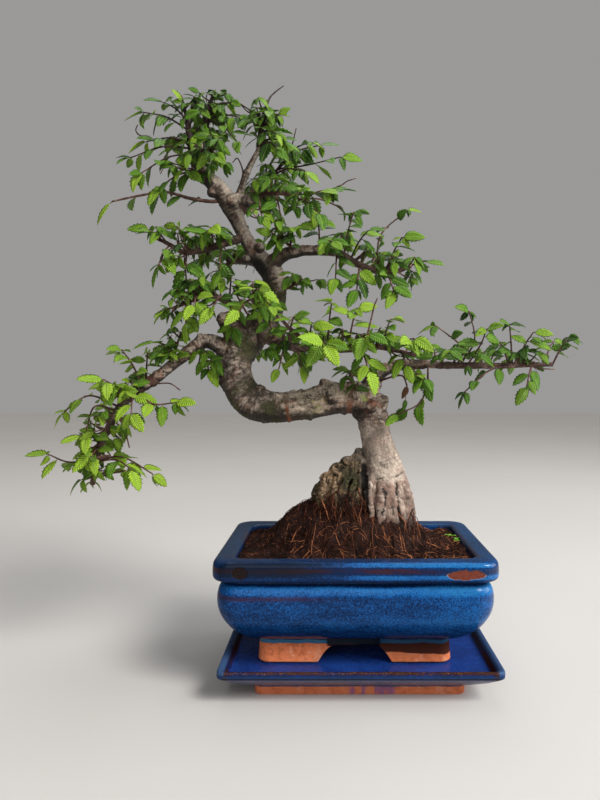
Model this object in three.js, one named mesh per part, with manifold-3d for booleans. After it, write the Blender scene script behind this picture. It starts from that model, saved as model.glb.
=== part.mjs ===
import * as THREE from "three";
import { mergeVertices } from "three/addons/utils/BufferGeometryUtils.js";
import Module from "manifold-3d";

// A Chinese elm bonsai in a glazed pot that stands on a drip tray.
// Millimetres, +Z up. The origin is under the middle of the pot, on the tray's
// flat underside. X runs along the pot's long side and Y runs to its back.

const wasm = await Module();
wasm.setup();

// Driving dimensions of the tray and the pot
const GAP = 0.3;
const WOOD_GAP = 0.38;
const WALL_GAP = 0.42;
const TRAY_SHIFT = 3.3;
const TRAY_FLOOR = 18;
const POT_HALF_LENGTH = 100;
const POT_HALF_DEPTH = 66;
const DEPTH_LESS = POT_HALF_LENGTH - POT_HALF_DEPTH;
const FOOT_HALF_LENGTH = 70;
const FOOT_HALF_DEPTH = 36;
const FOOT_FLARE = 1.2;
const FOOT_HEIGHT = 17.9;
const FOOT_WALL = 9;
const FOOT_CORNER = 8;
const FRONT_ARCH = { bottomHalf: 27, topHalf: 15, height: 12.5 };
const SIDE_ARCH = { bottomHalf: 15, topHalf: 7, height: 11 };
const HOLE_RADIUS = 7.5;
const HOLE_X = 38;
const POT_FLOOR = 43.5;
const MESH_SIDE = 24;
const MESH_THICK = 1.2;
const MESH_HOLE = 5.2;
const MESH_PITCH = 7;
const CORNER_STEPS = 3;
const CUT_REACH = 240;

// Half length, half depth, corner radius and height of each level of the tray,
// from the middle of its underside out, up over the lip and in to its floor
const TRAY_LEVELS = [
  [75, 46, 6, 0],
  [75.5, 46.5, 6, 0.8],
  [75.5, 46.5, 6, 6.2],
  [79, 50, 6.5, 8],
  [90, 58.5, 7, 13.5],
  [97, 65, 7, 18.6],
  [99, 66.4, 7, 20.4],
  [99.3, 66.6, 7, 23],
  [98.2, 65.7, 7, 24.9],
  [95.6, 63.4, 6, 24.6],
  [93.6, 61.4, 5, 21.5],
  [90.5, 58.3, 5, 18.8],
  [87, 55, 5, TRAY_FLOOR],
];

// Half length, corner radius and height of each level of the pot, from the
// underside up the outside, over the rolled lip and down to the inner floor
const POT_LEVELS = [
  [68, 10, 36.2],
  [77, 12, 38],
  [84.5, 13, 42.5],
  [90.5, 14, 49],
  [95.7, 15, 58],
  [97.6, 15, 66],
  [97.5, 15, 73],
  [95.8, 14, 79.5],
  [94, 13, 83.2],
  [95.2, 13, 85.4],
  [98.8, 13, 88.6],
  [100, 13, 93.6],
  [99.2, 13, 97.4],
  [97, 12, 99],
  [89.5, 9, 99.3],
  [86.4, 8, 98.2],
  [85.5, 8, 95.5],
];
const POT_INSIDE = [
  [85.5, 8, 86],
  [88.2, 9, 75],
  [88.2, 9, 66],
  [84, 9, 54],
  [76, 8, 46.5],
  [64, 7, POT_FLOOR],
];

// The heap of fibre over the root ball
const SOIL_EDGE = 93.6;
const HEAP_HEIGHT = 38;
const HEAP_X = -5;
const HEAP_Y = 4;
const HEAP_LENGTH = 58;
const HEAP_DEPTH = 38;
const HEAP_RINGS = 6;
const HEAP_CORNER = 8;
const SOIL_BOTTOM = POT_FLOOR + GAP;

// Leaves: about half as wide as long, folded along the rib and arched
const LEAF_WIDTH = 0.56;
const LEAF_FOLD = 0.28;
const LEAF_THICK = 1.1;
const PETIOLE_THICK = 0.45;
const FIRST_LEAF = 0.3;
const LEAF_CYCLE = 4;
const LEAF_TRIES = 9;
const CLEAR_OF_OWN = 2.6;
const CLEAR_OF_OTHERS = 5;
const CLEAR_OF_WOOD = 2.4;
const CLEAR_OF_TWIG = 0.8;
const TRUNK_SIDES = 9;
const LIMB_SIDES = 7;
const STEM_SIDES = 6;
const THIN_STEM_SIDES = 4;
const THIN_STEM = 2.5;
const SHOOT_SIDES = 3;
const SHOOT_ROOT = 1.1;
const SHOOT_TIP = 0.6;
const SHOOT_ARCH = 0.1;
const SAMPLE_STEP = 4;
const FIRST_SEED = 1000;
const SEED_STEP = 37;
const UP = new THREE.Vector3(0, 0, 1);
const EAST = new THREE.Vector3(1, 0, 0);
const LIGHT = new THREE.Vector3(-0.25, -0.95, 0.1);

// Half of a leaf's toothed edge, as shares of its length and half width
const LEAF_EDGE = [
  [0.11, 0.26],
  [0.38, 1],
  [0.47, 0.8],
  [0.7, 0.68],
];
const LEAF_MIDDLE = 0.42;

/** A side shoot: where it leaves its stem, the points it runs through, its leaves. */
function shoot(at, points, leaves = 0, length = 0) {
  return { at, points, leaves, length };
}

// Wood: each point of a path is x, y, z and radius
const TRUNK = [
  [29, 2, 85, 17], [28, 0, 113, 20], [27, 0, 133, 18], [24, 0, 154, 14.5], [18, 0, 180, 12],
  [14, -1, 200, 12.5], [4, -3, 210, 13.5], [-14, -6, 210, 12], [-38, -9, 206, 11.5], [-61, -10, 204, 12],
  [-80, -8, 208, 13], [-91, -4, 225, 13], [-93, 2, 244, 14], [-82, 7, 260, 13.5], [-68, 9, 275, 10],
  [-60, 9, 291, 7], [-64, 7, 309, 9.5], [-76, 4, 323, 8.5], [-87, 1, 341, 7], [-95, -1, 360, 8],
  [-105, -3, 374, 8], [-115, -3, 384, 6.5], [-124, -2, 399, 5],
];

// The limbs that are part of the tree, and the sawn stub
const LIMBS = [
  [
    [-85, 0, 248, 9], [-91, -4, 258, 8.6], [-97, -7, 267, 8], [-102, -10, 275, 7],
  ],
  [
    [-91, 0, 242, 9], [-103, -3, 251, 7], [-116, -6, 255, 6], [-129, -10, 245, 5.2], [-143, -15, 233, 4.9],
    [-153, -18, 224, 4.7],
  ],
  [
    [10, -3, 212, 9], [19, -4, 229, 6.2], [35, -6, 236, 5.2], [56, -8, 237, 4.4],
  ],
  [
    [-69, 5, 314, 7], [-56, 1, 323, 5.6], [-42, -3, 326, 5], [-28, -5, 326, 4.4],
  ],
  [
    [-117, -2, 387, 5.5], [-122, 3, 407, 4.4], [-118, 7, 427, 3.4],
  ],
  [
    [-91, -1, 364, 6], [-87, -3, 377, 4.6], [-82, -4, 390, 4.2], [-73, -4, 407, 3.6],
  ],
];

// Surface roots, from the trunk's base down into the heap
const ROOTS = [
  [
    [14, -3, 166, 8], [4, -6, 163, 9.5], [-7, -7, 153, 12.5], [-15, -6, 136, 14.5],
    [-19, -5, 116, 15], [-21, -4, 92, 8],
  ],
  [
    [8, -5, 150, 8], [-4, -13, 140, 8.5], [-7, -16, 120, 8.5], [-10, -19, 98, 5],
  ],
  [
    [4, 4, 150, 8], [-9, 11, 136, 9], [-16, 17, 116, 8.5], [-22, 22, 94, 5],
  ],
  [
    [32, -4, 142, 9], [38, -6, 124, 10.5], [42, -7, 106, 8], [46, -8, 88, 5],
  ],
  [
    [24, -7, 140, 8], [22, -15, 122, 9], [20, -22, 104, 6.5], [18, -26, 88, 4],
  ],
  [
    [30, 6, 140, 8], [34, 15, 122, 9], [38, 23, 104, 6], [40, 28, 88, 4],
  ],
];

// Leafy stems: the main path, its own leaves, and its side shoots
const STEMS = [
  {
    name: "stem_lower_left",
    path: [
      [-153, -18, 224, 4.7], [-165, -20, 216, 4.2], [-177, -20, 204, 3.7], [-186, -18, 189, 3.4],
      [-193, -16, 177, 3.1], [-198, -12, 162, 2.8], [-202, -10, 144, 2.3],
    ],
    shoots: [
      shoot(0.4, [[-160, -8, 246]], 5, 16),
      shoot(0.6, [[-173, -28, 247]], 7, 17),
      shoot(0.2, [[-175, 22, 230]], 5, 16),
      shoot(0.9, [[-149, -32, 207], [-131, -36, 208]], 6, 18),
      shoot(1.2, [[-162, -40, 201]], 3, 21),
      shoot(1.7, [[-181, -42, 225]], 6, 18),
      shoot(2.0, [[-197, -28, 213], [-214, -30, 202]], 5, 16),
      shoot(2.2, [[-193, -28, 205], [-198, -32, 187]]),
      shoot(2.3, [[-172, -26, 189], [-168, -26, 174]]),
      shoot(2.7, [[-204, 20, 202]], 5, 16),
      shoot(3.8, [[-202, -30, 183]], 4, 18),
      shoot(4.4, [[-191, -38, 169]], 3, 19),
      shoot(4.8, [[-217, -16, 162], [-232, -18, 168]], 4, 17),
      shoot(5.0, [[-178, -26, 165], [-166, -30, 159]], 4, 22),
      shoot(5.0, [[-177, -16, 166], [-152, -22, 154]], 5, 18),
      shoot(5.7, [[-182, -2, 153]], 3, 15),
    ],
  },
  {
    name: "stem_low_inner",
    path: [[-139, -14, 235, 1.6], [-136, -16, 248, 1.3], [-132, -16, 261, 0.9]],
    leaves: 5, length: 17,
    shoots: [
      shoot(0.8, [[-148, -24, 253]], 4, 16),
      shoot(1.0, [[-152, 14, 249]], 4, 16),
    ],
  },
  {
    name: "stem_low_hang",
    path: [[-120, -7, 253, 1.4], [-115, -12, 243, 1.1], [-111, -17, 234, 0.8]],
    leaves: 3, length: 16,
  },
  {
    name: "stem_right",
    path: [
      [56, -8, 237, 4.4], [76, -8, 236, 4], [97, -8, 236, 3.7], [124, -6, 236, 3],
      [156, -4, 237, 2.2],
    ],
    shoots: [
      shoot(0.1, [[56, -14, 219], [49, -16, 206], [33, -20, 199]], 5, 16),
      shoot(0.6, [[70, -32, 247]], 5, 17),
      shoot(0.4, [[68, 28, 250]], 5, 16),
      shoot(1.3, [[93, -12, 255], [90, -8, 278]], 5, 16),
      shoot(1.2, [[83, -16, 249], [63, -16, 266]], 4, 17),
      shoot(1.6, [[96, -18, 251], [100, -22, 263]], 4, 17),
      shoot(2.1, [[111, 32, 248]], 5, 16),
      shoot(2.9, [[120, 16, 256]], 4, 16),
      shoot(3.0, [[121, -8, 268]], 5, 17),
      shoot(3.1, [[137, -16, 261]], 5, 18),
      shoot(3.0, [[104, -14, 232], [85, -16, 216]], 4, 16),
      shoot(3.5, [[132, -16, 220]], 4, 16),
      shoot(3.8, [[163, 14, 256]], 4, 16),
      shoot(4.0, [[170, -4, 259]], 5, 17),
    ],
  },
  {
    name: "stem_right_inner",
    path: [[39, -6, 237, 1.4], [45, -20, 231, 1.1], [52, -30, 226, 0.8]],
    leaves: 4, length: 15,
  },
  {
    name: "stem_withered",
    path: [[16, -4, 222, 1.3], [26, -12, 226, 1], [37, -14, 228, 0.9], [41, -14, 220, 0.7]],
    leaves: 1, length: 13,
  },
  {
    name: "stem_middle",
    path: [
      [-76, 4, 261, 6], [-63, -12, 255, 5], [-48, -24, 250, 4.2], [-27, -32, 247, 3.6],
      [-5, -36, 247, 3], [11, -36, 249, 2.5], [27, -34, 247, 2.1], [45, -30, 243, 1.7],
    ],
    shoots: [
      shoot(1.2, [[-66, -46, 277]], 6, 16),
      shoot(1.8, [[-55, -40, 233]], 4, 15),
      shoot(1.9, [[-44, -48, 269]], 5, 16),
      shoot(2.3, [[-39, -42, 235]], 3, 16),
      shoot(2.7, [[-31, -52, 265]], 4, 17),
      shoot(3.0, [[-21, -62, 250]], 7, 22),
      shoot(3.3, [[-17, -42, 280]], 6, 18),
      shoot(3.5, [[-14, -6, 257]], 4, 16),
      shoot(4.0, [[1, -44, 276]], 5, 18),
      shoot(4.2, [[8, -60, 256]], 5, 18),
      shoot(4.5, [[9, -52, 232]], 5, 19),
      shoot(5.6, [[26, -36, 269]], 5, 16),
      shoot(6.2, [[41, -50, 254]], 5, 17),
      shoot(6.4, [[36, -46, 236]], 3, 17),
      shoot(7.0, [[56, -22, 250]], 4, 17),
    ],
  },
  {
    name: "stem_elbow",
    path: [[-1, -12, 212, 1.4], [-1, -20, 223, 1.1], [-2, -24, 231, 0.8]],
    leaves: 3, length: 14,
  },
  {
    name: "stem_upper_right",
    path: [
      [-28, -5, 326, 4.4], [-11, -7, 323, 3.6], [7, -8, 313, 2.9], [30, -8, 309, 2.3],
      [45, -8, 313, 1.6],
    ],
    shoots: [
      shoot(0.1, [[-27, -16, 347]], 6, 17),
      shoot(0.2, [[-17, -40, 325]], 5, 17),
      shoot(0.6, [[-18, 36, 345]], 5, 16),
      shoot(0.9, [[-14, -28, 301]], 4, 17),
      shoot(1.0, [[-9, 16, 345]], 4, 16),
      shoot(1.2, [[0, -8, 355]], 6, 17),
      shoot(1.5, [[10, -22, 337]], 5, 17),
      shoot(1.9, [[2, -24, 293]], 5, 17),
      shoot(2.3, [[23, 30, 329]], 5, 16),
      shoot(2.5, [[21, -8, 337], [42, -6, 357]], 5, 16),
      shoot(2.7, [[29, -30, 291]], 6, 17),
      shoot(2.8, [[36, -22, 332]], 5, 17),
      shoot(3.9, [[55, -12, 316]], 4, 16),
    ],
  },
  {
    name: "stem_upper_inner",
    path: [[-45, -3, 326, 1.7], [-52, -14, 330, 1.3], [-61, -24, 334, 0.9]],
    leaves: 4, length: 16,
    shoots: [
      shoot(0.6, [[-45, -20, 340]], 4, 16),
    ],
  },
  {
    name: "stem_trunk_twig",
    path: [[-59, 8, 295, 1.5], [-49, -2, 298, 1.1], [-40, -8, 303, 0.8]],
    leaves: 2, length: 13,
  },
  {
    name: "stem_upper_left",
    path: [
      [-86, 0, 337, 4.6], [-100, -4, 332, 3.8], [-115, -8, 326, 3.2], [-130, -12, 323, 2.6],
      [-142, -14, 329, 2], [-153, -16, 334, 1.4],
    ],
    shoots: [
      shoot(1.2, [[-101, -24, 307]], 4, 16),
      shoot(1.6, [[-107, -28, 338]], 5, 21),
      shoot(2.0, [[-128, 24, 333]], 5, 16),
      shoot(2.4, [[-127, 8, 348]], 4, 15),
      shoot(2.8, [[-136, -12, 343]], 4, 16),
      shoot(2.9, [[-128, -18, 308], [-126, -20, 294]], 6, 21),
      shoot(3.9, [[-145, -28, 311]], 4, 19),
      shoot(4.9, [[-155, -18, 339]], 4, 16),
    ],
  },
  {
    name: "stem_inner_left",
    path: [
      [-79, 6, 262, 6], [-89, -4, 274, 4.6], [-98, -12, 285, 3.4], [-111, -18, 289, 2.7],
      [-124, -22, 284, 2.1], [-137, -24, 278, 1.5],
    ],
    shoots: [
      shoot(1.8, [[-93, -20, 302]], 5, 16),
      shoot(2.2, [[-103, -40, 278]], 4, 16),
      shoot(2.8, [[-120, 18, 299]], 5, 16),
      shoot(3.1, [[-115, -28, 302]], 5, 16),
      shoot(3.5, [[-116, -44, 279]], 4, 16),
      shoot(4.0, [[-140, 14, 296]], 4, 16),
      shoot(4.2, [[-123, -38, 267]], 4, 17),
      shoot(4.9, [[-141, -26, 277]], 4, 16),
    ],
  },
  {
    name: "stem_front",
    path: [[-68, 6, 276, 4.6], [-70, -14, 280, 3.4], [-73, -30, 282, 2.6], [-75, -44, 283, 1.8]],
    shoots: [
      shoot(2.3, [[-59, -60, 276]], 4, 16),
      shoot(2.7, [[-80, -60, 273]], 4, 16),
      shoot(2.9, [[-67, -64, 287]], 5, 16),
    ],
  },
  {
    name: "stem_crown_top",
    path: [[-118, 7, 427, 3.4], [-115, 9, 445, 2.3], [-112, 9, 456, 1.2]],
    leaves: 4, length: 15,
    shoots: [
      shoot(0.3, [[-89, -18, 406]], 4, 16),
      shoot(0.3, [[-90, -6, 430]], 5, 16),
      shoot(0.4, [[-123, 36, 452]], 4, 16),
      shoot(0.7, [[-97, 2, 445]], 4, 15),
      shoot(0.8, [[-124, -6, 440]], 4, 15),
    ],
  },
  {
    name: "stem_trunk_top",
    path: [[-124, -2, 399, 5], [-128, -3, 414, 3.6], [-130, -5, 429, 2.2], [-133, -4, 440, 1.1]],
    leaves: 3, length: 15,
    shoots: [
      shoot(0.2, [[-158, -28, 379]], 5, 18),
      shoot(0.5, [[-169, -18, 394]], 5, 17),
      shoot(0.8, [[-160, -8, 410]], 5, 16),
      shoot(1.0, [[-153, 30, 418]], 5, 16),
      shoot(1.4, [[-160, -16, 429]], 7, 17),
      shoot(1.9, [[-146, -10, 439]], 5, 15),
    ],
  },
  {
    name: "stem_crown_low",
    path: [[-118, -3, 390, 1.8], [-122, -16, 384, 1.4], [-127, -28, 381, 0.9]],
    leaves: 4, length: 16,
    shoots: [
      shoot(0.9, [[-145, -24, 370]], 4, 18),
    ],
  },
  {
    name: "stem_crown_front",
    path: [[-121, 3, 405, 1.8], [-112, -18, 399, 1.4], [-102, -38, 390, 0.9]],
    leaves: 5, length: 17,
    shoots: [
      shoot(0.8, [[-120, -38, 390]], 4, 17),
    ],
  },
  {
    name: "stem_crown_rear",
    path: [[-120, 5, 417, 2], [-124, 24, 429, 1.5], [-130, 44, 440, 0.9]],
    leaves: 5, length: 16,
    shoots: [
      shoot(0.6, [[-150, 38, 431]], 4, 16),
      shoot(0.8, [[-107, 40, 436]], 4, 16),
    ],
  },
  {
    name: "stem_long",
    path: [
      [-99, -2, 367, 2], [-110, -6, 364, 1.8], [-126, -14, 364, 1.6], [-143, -20, 367, 1.3],
      [-161, -24, 363, 1.1], [-181, -26, 358, 0.8],
    ],
    leaves: 5, length: 20,
  },
  {
    name: "stem_crown_right",
    path: [
      [-73, -4, 407, 3.4], [-72, -3, 420, 3], [-70, -2, 434, 2.3], [-66, 0, 447, 1.5],
      [-61, 1, 453, 1.2], [-55, 2, 458, 0.8],
    ],
    shoots: [
      shoot(0.1, [[-57, -34, 395]], 4, 16),
      shoot(0.3, [[-56, -10, 410]], 5, 16),
      shoot(0.8, [[-59, -28, 408]], 5, 16),
      shoot(1.4, [[-83, 16, 438]], 3, 15),
      shoot(1.8, [[-64, -20, 428]], 4, 15),
      shoot(1.9, [[-82, 2, 439], [-93, 4, 447]]),
    ],
  },
  {
    name: "stem_crown_back",
    path: [
      [-90, 6, 366, 4.6], [-79, 9, 377, 3.8], [-72, 14, 384, 3.2], [-63, 18, 395, 2.6],
      [-57, 20, 405, 2], [-50, 20, 417, 1.5], [-46, 18, 431, 0.9],
    ],
    shoots: [
      shoot(2.0, [[-57, 46, 398]], 5, 16),
      shoot(2.7, [[-39, -6, 388]], 5, 16),
      shoot(3.3, [[-39, 14, 399], [-10, 6, 403]], 5, 18),
      shoot(3.8, [[-27, 26, 420]], 4, 16),
      shoot(4.1, [[-34, 6, 415]], 5, 17),
      shoot(4.6, [[-65, 40, 427]], 4, 15),
    ],
  },
  {
    name: "stem_crown_side",
    path: [
      [-88, -5, 360, 4.2], [-76, -8, 367, 3.4], [-63, -13, 368, 2.8], [-50, -17, 366, 2.2],
      [-38, -19, 360, 1.6],
    ],
    shoots: [
      shoot(1.1, [[-69, -28, 347]], 4, 16),
      shoot(2.2, [[-55, -26, 347]], 4, 16),
      shoot(3.6, [[-27, -32, 348]], 4, 17),
      shoot(3.7, [[-9, -8, 358]], 4, 16),
      shoot(3.9, [[-18, -22, 368]], 5, 18),
    ],
  },
  {
    name: "stem_back_top",
    path: [[-93, 2, 356, 4.4], [-88, 22, 365, 3.4], [-82, 40, 377, 2.4], [-73, 54, 383, 1.6]],
    shoots: [
      shoot(2.2, [[-80, 60, 406]], 4, 16),
      shoot(2.7, [[-66, 66, 371]], 4, 16),
      shoot(2.9, [[-53, 62, 395]], 4, 16),
    ],
  },
  {
    name: "stem_back_mid",
    path: [[-73, 8, 319, 5.2], [-85, 30, 324, 4], [-102, 50, 328, 2.9], [-115, 66, 326, 1.8]],
    shoots: [
      shoot(1.1, [[-84, 48, 347]], 4, 16),
      shoot(2.3, [[-117, 76, 348]], 4, 16),
      shoot(2.7, [[-123, 76, 306]], 4, 16),
      shoot(2.9, [[-137, 80, 334]], 4, 16),
    ],
  },
  {
    name: "stem_back_low",
    path: [[-87, 8, 253, 7], [-80, 30, 260, 4.6], [-71, 52, 263, 3.2], [-55, 72, 261, 2]],
    shoots: [
      shoot(1.5, [[-95, 58, 277]], 4, 16),
      shoot(2.6, [[-52, 84, 284]], 4, 16),
      shoot(2.8, [[-46, 84, 246]], 4, 16),
      shoot(3.0, [[-30, 80, 268]], 4, 16),
    ],
  },
];

/** The point at span position t on a smooth path, with every column of its points. */
function along(path, t) {
  const last = path.length - 1;
  const span = Math.min(Math.floor(t), last - 1);
  const f = t - span;
  const at = (k) => {
    if (k < 0) return path[0].map((v, i) => 2 * v - path[1][i]);
    if (k > last) return path[last].map((v, i) => 2 * v - path[last - 1][i]);
    return path[k];
  };
  const [a, b, c, d] = [at(span - 1), at(span), at(span + 1), at(span + 2)];
  return b.map((v, i) => {
    const second = 2 * a[i] - 5 * v + 4 * c[i] - d[i];
    const third = 3 * v - a[i] - 3 * c[i] + d[i];
    return 0.5 * (2 * v + (c[i] - a[i]) * f + second * f * f + third * f * f * f);
  });
}

/** The point at t as a vector. */
function pointOn(path, t) {
  const [x, y, z] = along(path, t);
  return new THREE.Vector3(x, y, z);
}

/** The point at t on the straight lines that join a path's points. */
function chordOn(path, t) {
  const span = Math.min(Math.floor(t), path.length - 2);
  const [x, y, z] = path[span].map((v, i) => v + (t - span) * (path[span + 1][i] - v));
  return new THREE.Vector3(x, y, z);
}

/** The direction of a path at t. */
function tangentOn(path, t) {
  const last = path.length - 1;
  const before = pointOn(path, Math.max(t - 0.01, 0));
  const after = pointOn(path, Math.min(t + 0.01, last));
  return after.sub(before).normalize();
}

/** Draws between 0 and 1 that are the same for the same seed. */
function draws(seed) {
  let state = seed >>> 0;
  return () => {
    state = (Math.imul(state, 1664525) + 1013904223) >>> 0;
    return state / 4294967296;
  };
}

/** A closed solid from a list of corner points and triangles. */
function solid(points, triangles) {
  const mesh = new wasm.Mesh({
    numProp: 3,
    vertProperties: new Float32Array(points.flat()),
    triVerts: new Uint32Array(triangles.flat()),
  });
  return new wasm.Manifold(mesh);
}

/** A closed solid from a three.js geometry. */
function solidOf(geometry) {
  geometry.deleteAttribute("normal");
  geometry.deleteAttribute("uv");
  const merged = mergeVertices(geometry, 1e-4);
  const mesh = new wasm.Mesh({
    numProp: 3,
    vertProperties: merged.attributes.position.array,
    triVerts: new Uint32Array(merged.index.array),
  });
  return new wasm.Manifold(mesh);
}

/** Rings of equal count joined side to side, and closed over the first and the last. */
function loft(rings) {
  const count = rings[0].length;
  const points = rings.flat();
  const triangles = [];
  for (let r = 0; r + 1 < rings.length; r += 1) {
    for (let k = 0; k < count; k += 1) {
      const a = r * count + k;
      const b = r * count + ((k + 1) % count);
      triangles.push([a, b, b + count], [a, b + count, a + count]);
    }
  }
  const top = (rings.length - 1) * count;
  for (let k = 1; k + 1 < count; k += 1) {
    triangles.push([0, k + 1, k], [top, top + k, top + k + 1]);
  }
  return solid(points, triangles);
}

/** One level ring: a rectangle with round corners and extra points along its sides. */
function levelRing(halfLength, halfDepth, corner, z, sideSteps = 1) {
  const ring = [];
  const middles = [
    [halfLength - corner, halfDepth - corner],
    [corner - halfLength, halfDepth - corner],
    [corner - halfLength, corner - halfDepth],
    [halfLength - corner, corner - halfDepth],
  ];
  middles.forEach(([x, y], quarter) => {
    for (let k = 0; k <= CORNER_STEPS; k += 1) {
      const angle = (quarter + k / CORNER_STEPS) * (Math.PI / 2);
      ring.push([x + corner * Math.cos(angle), y + corner * Math.sin(angle), z]);
    }
    const from = ring[ring.length - 1];
    const [nextX, nextY] = middles[(quarter + 1) % 4];
    const turned = ((quarter + 1) * Math.PI) / 2;
    const to = [nextX + corner * Math.cos(turned), nextY + corner * Math.sin(turned)];
    for (let k = 1; k < sideSteps; k += 1) {
      const share = k / sideSteps;
      ring.push([from[0] + (to[0] - from[0]) * share, from[1] + (to[1] - from[1]) * share, z]);
    }
  });
  return ring;
}

/** A branch or root: a tube along a path, round or gnarled, with closed ends. */
function branch(path, { sides, perSpan, grow = 0, gnarl = 0 }) {
  const spans = path.length - 1;
  const rings = [];
  let side = new THREE.Vector3(0.3, 1, 0.2);
  for (let k = 0; k <= spans * perSpan; k += 1) {
    const t = k / perSpan;
    const tangent = tangentOn(path, t);
    side = side.addScaledVector(tangent, -side.dot(tangent)).normalize();
    const other = new THREE.Vector3().crossVectors(tangent, side);
    const end = k === 0 ? -grow : k === spans * perSpan ? grow : 0;
    const middle = pointOn(path, t).addScaledVector(tangent, end);
    const radius = along(path, t)[3] + grow;
    const ring = [];
    for (let s = 0; s < sides; s += 1) {
      const angle = (s / sides) * 2 * Math.PI;
      const lump = 1 + gnarl * (Math.sin(3 * angle + 1.7 * t) + 0.6 * Math.sin(2 * angle - 2.9 * t));
      const reach = radius * lump;
      const point = middle
        .clone()
        .addScaledVector(side, reach * Math.cos(angle))
        .addScaledVector(other, reach * Math.sin(angle));
      ring.push(point.toArray());
    }
    rings.push(ring);
  }
  return loft(rings);
}

/** Trunk, limbs and roots as one piece of wood, or the same shape grown by a gap. */
function makeWood(grow) {
  let wood = branch(TRUNK, { sides: TRUNK_SIDES, perSpan: 2, grow, gnarl: 0.045 });
  for (const limb of LIMBS) {
    wood = wood.add(branch(limb, { sides: LIMB_SIDES, perSpan: 1, grow, gnarl: 0.03 }));
  }
  for (const root of ROOTS) {
    wood = wood.add(branch(root, { sides: LIMB_SIDES, perSpan: 1, grow, gnarl: 0.1 }));
  }
  return wood;
}

/** The full path of a side shoot, from inside its stem to its tip. */
function shootPath(stem, { at, points }) {
  const root = along(stem.path, at).slice(0, 3);
  const route = [root, ...points];
  if (points.length === 1) {
    const reach = Math.hypot(...root.map((v, i) => points[0][i] - v));
    const middle = root.map((v, i) => (v + points[0][i]) / 2);
    middle[2] += SHOOT_ARCH * reach;
    route.splice(1, 0, middle);
  }
  const last = route.length - 1;
  return route.map((p, i) => [...p, SHOOT_ROOT + ((SHOOT_TIP - SHOOT_ROOT) * i) / last]);
}

/** Evenly spaced samples of a wooden path, which leaves keep clear of. */
function woodSamples(path, owner) {
  const samples = [];
  const spans = path.length - 1;
  for (let span = 0; span < spans; span += 1) {
    const [a, b] = [path[span], path[span + 1]];
    const reach = Math.hypot(b[0] - a[0], b[1] - a[1], b[2] - a[2]);
    const steps = Math.ceil(reach / SAMPLE_STEP);
    for (let k = 0; k < steps; k += 1) {
      samples.push({ at: along(path, span + k / steps), owner });
    }
  }
  samples.push({ at: path[spans], owner });
  return samples;
}

/**
 * One way for a leaf to stand on its twig, from seven draws. It leaves the twig to one
 * side, droops, and turns its face up and towards the light.
 */
function leafPose(base, tangent, side, last, length, draw) {
  const [spin, spread, droop, size] = [2 * draw() - 1, draw(), draw(), draw()];
  const tilt = new THREE.Vector3(2 * draw() - 1, 2 * draw() - 1, 2 * draw() - 1);
  let across = new THREE.Vector3().crossVectors(tangent, UP);
  if (across.length() < 0.3) across = new THREE.Vector3().crossVectors(tangent, EAST);
  across.normalize();
  const over = new THREE.Vector3().crossVectors(across, tangent);
  const turn = side * (Math.PI / 2) + spin * 1.0;
  const angle = last ? 0.15 + 0.4 * spread : 0.8 + 0.5 * spread;
  const rib = tangent
    .clone()
    .multiplyScalar(Math.cos(angle))
    .addScaledVector(over, Math.sin(angle) * Math.cos(turn))
    .addScaledVector(across, Math.sin(angle) * Math.sin(turn));
  rib.z -= 0.15 + 0.55 * droop;
  rib.normalize();
  const face = UP.clone().multiplyScalar(0.6).addScaledVector(LIGHT, 0.55).addScaledVector(tilt, 0.45);
  face.addScaledVector(rib, -face.dot(rib)).normalize();
  const reach = length * (0.8 + 0.35 * size);
  const half = (reach * LEAF_WIDTH) / 2;
  const arch = reach * (0.1 + 0.12 * droop);
  return { base, rib, face, flat: new THREE.Vector3().crossVectors(rib, face), reach, half, arch };
}

/** A point of a leaf: u along the rib, v across it from -1 to 1, lift off its face. */
function leafPoint(pose, u, v, lift = 0) {
  const height = LEAF_FOLD * Math.abs(v) * pose.half - pose.arch * u * u + lift;
  return pose.base
    .clone()
    .addScaledVector(pose.rib, u * pose.reach)
    .addScaledVector(pose.flat, v * pose.half)
    .addScaledVector(pose.face, height);
}

/** The points that stand for a leaf where its distance to others is measured. */
function leafMarks(pose) {
  return [
    leafPoint(pose, 0.25, 0),
    leafPoint(pose, 0.5, 0),
    leafPoint(pose, 0.75, 0),
    leafPoint(pose, 0.98, 0),
    leafPoint(pose, 0.45, 0.65),
    leafPoint(pose, 0.45, -0.65),
  ];
}

/** Whether a leaf's marks stay clear of the leaves and the wood placed before it. */
function isClear(marks, owner, placed, wood) {
  for (const leaf of placed) {
    const needed = leaf.owner === owner ? CLEAR_OF_OWN : CLEAR_OF_OTHERS;
    for (const mine of marks) {
      for (const theirs of leaf.marks) {
        if (mine.distanceToSquared(theirs) < needed * needed) return false;
      }
    }
  }
  for (const { at, owner: whose } of wood) {
    const mine = whose === owner;
    const needed = at[3] + (mine ? CLEAR_OF_TWIG : CLEAR_OF_WOOD);
    for (let k = mine ? 1 : 0; k < marks.length; k += 1) {
      const { x, y, z } = marks[k];
      const square = (x - at[0]) ** 2 + (y - at[1]) ** 2 + (z - at[2]) ** 2;
      if (square < needed * needed) return false;
    }
  }
  return true;
}

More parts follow.
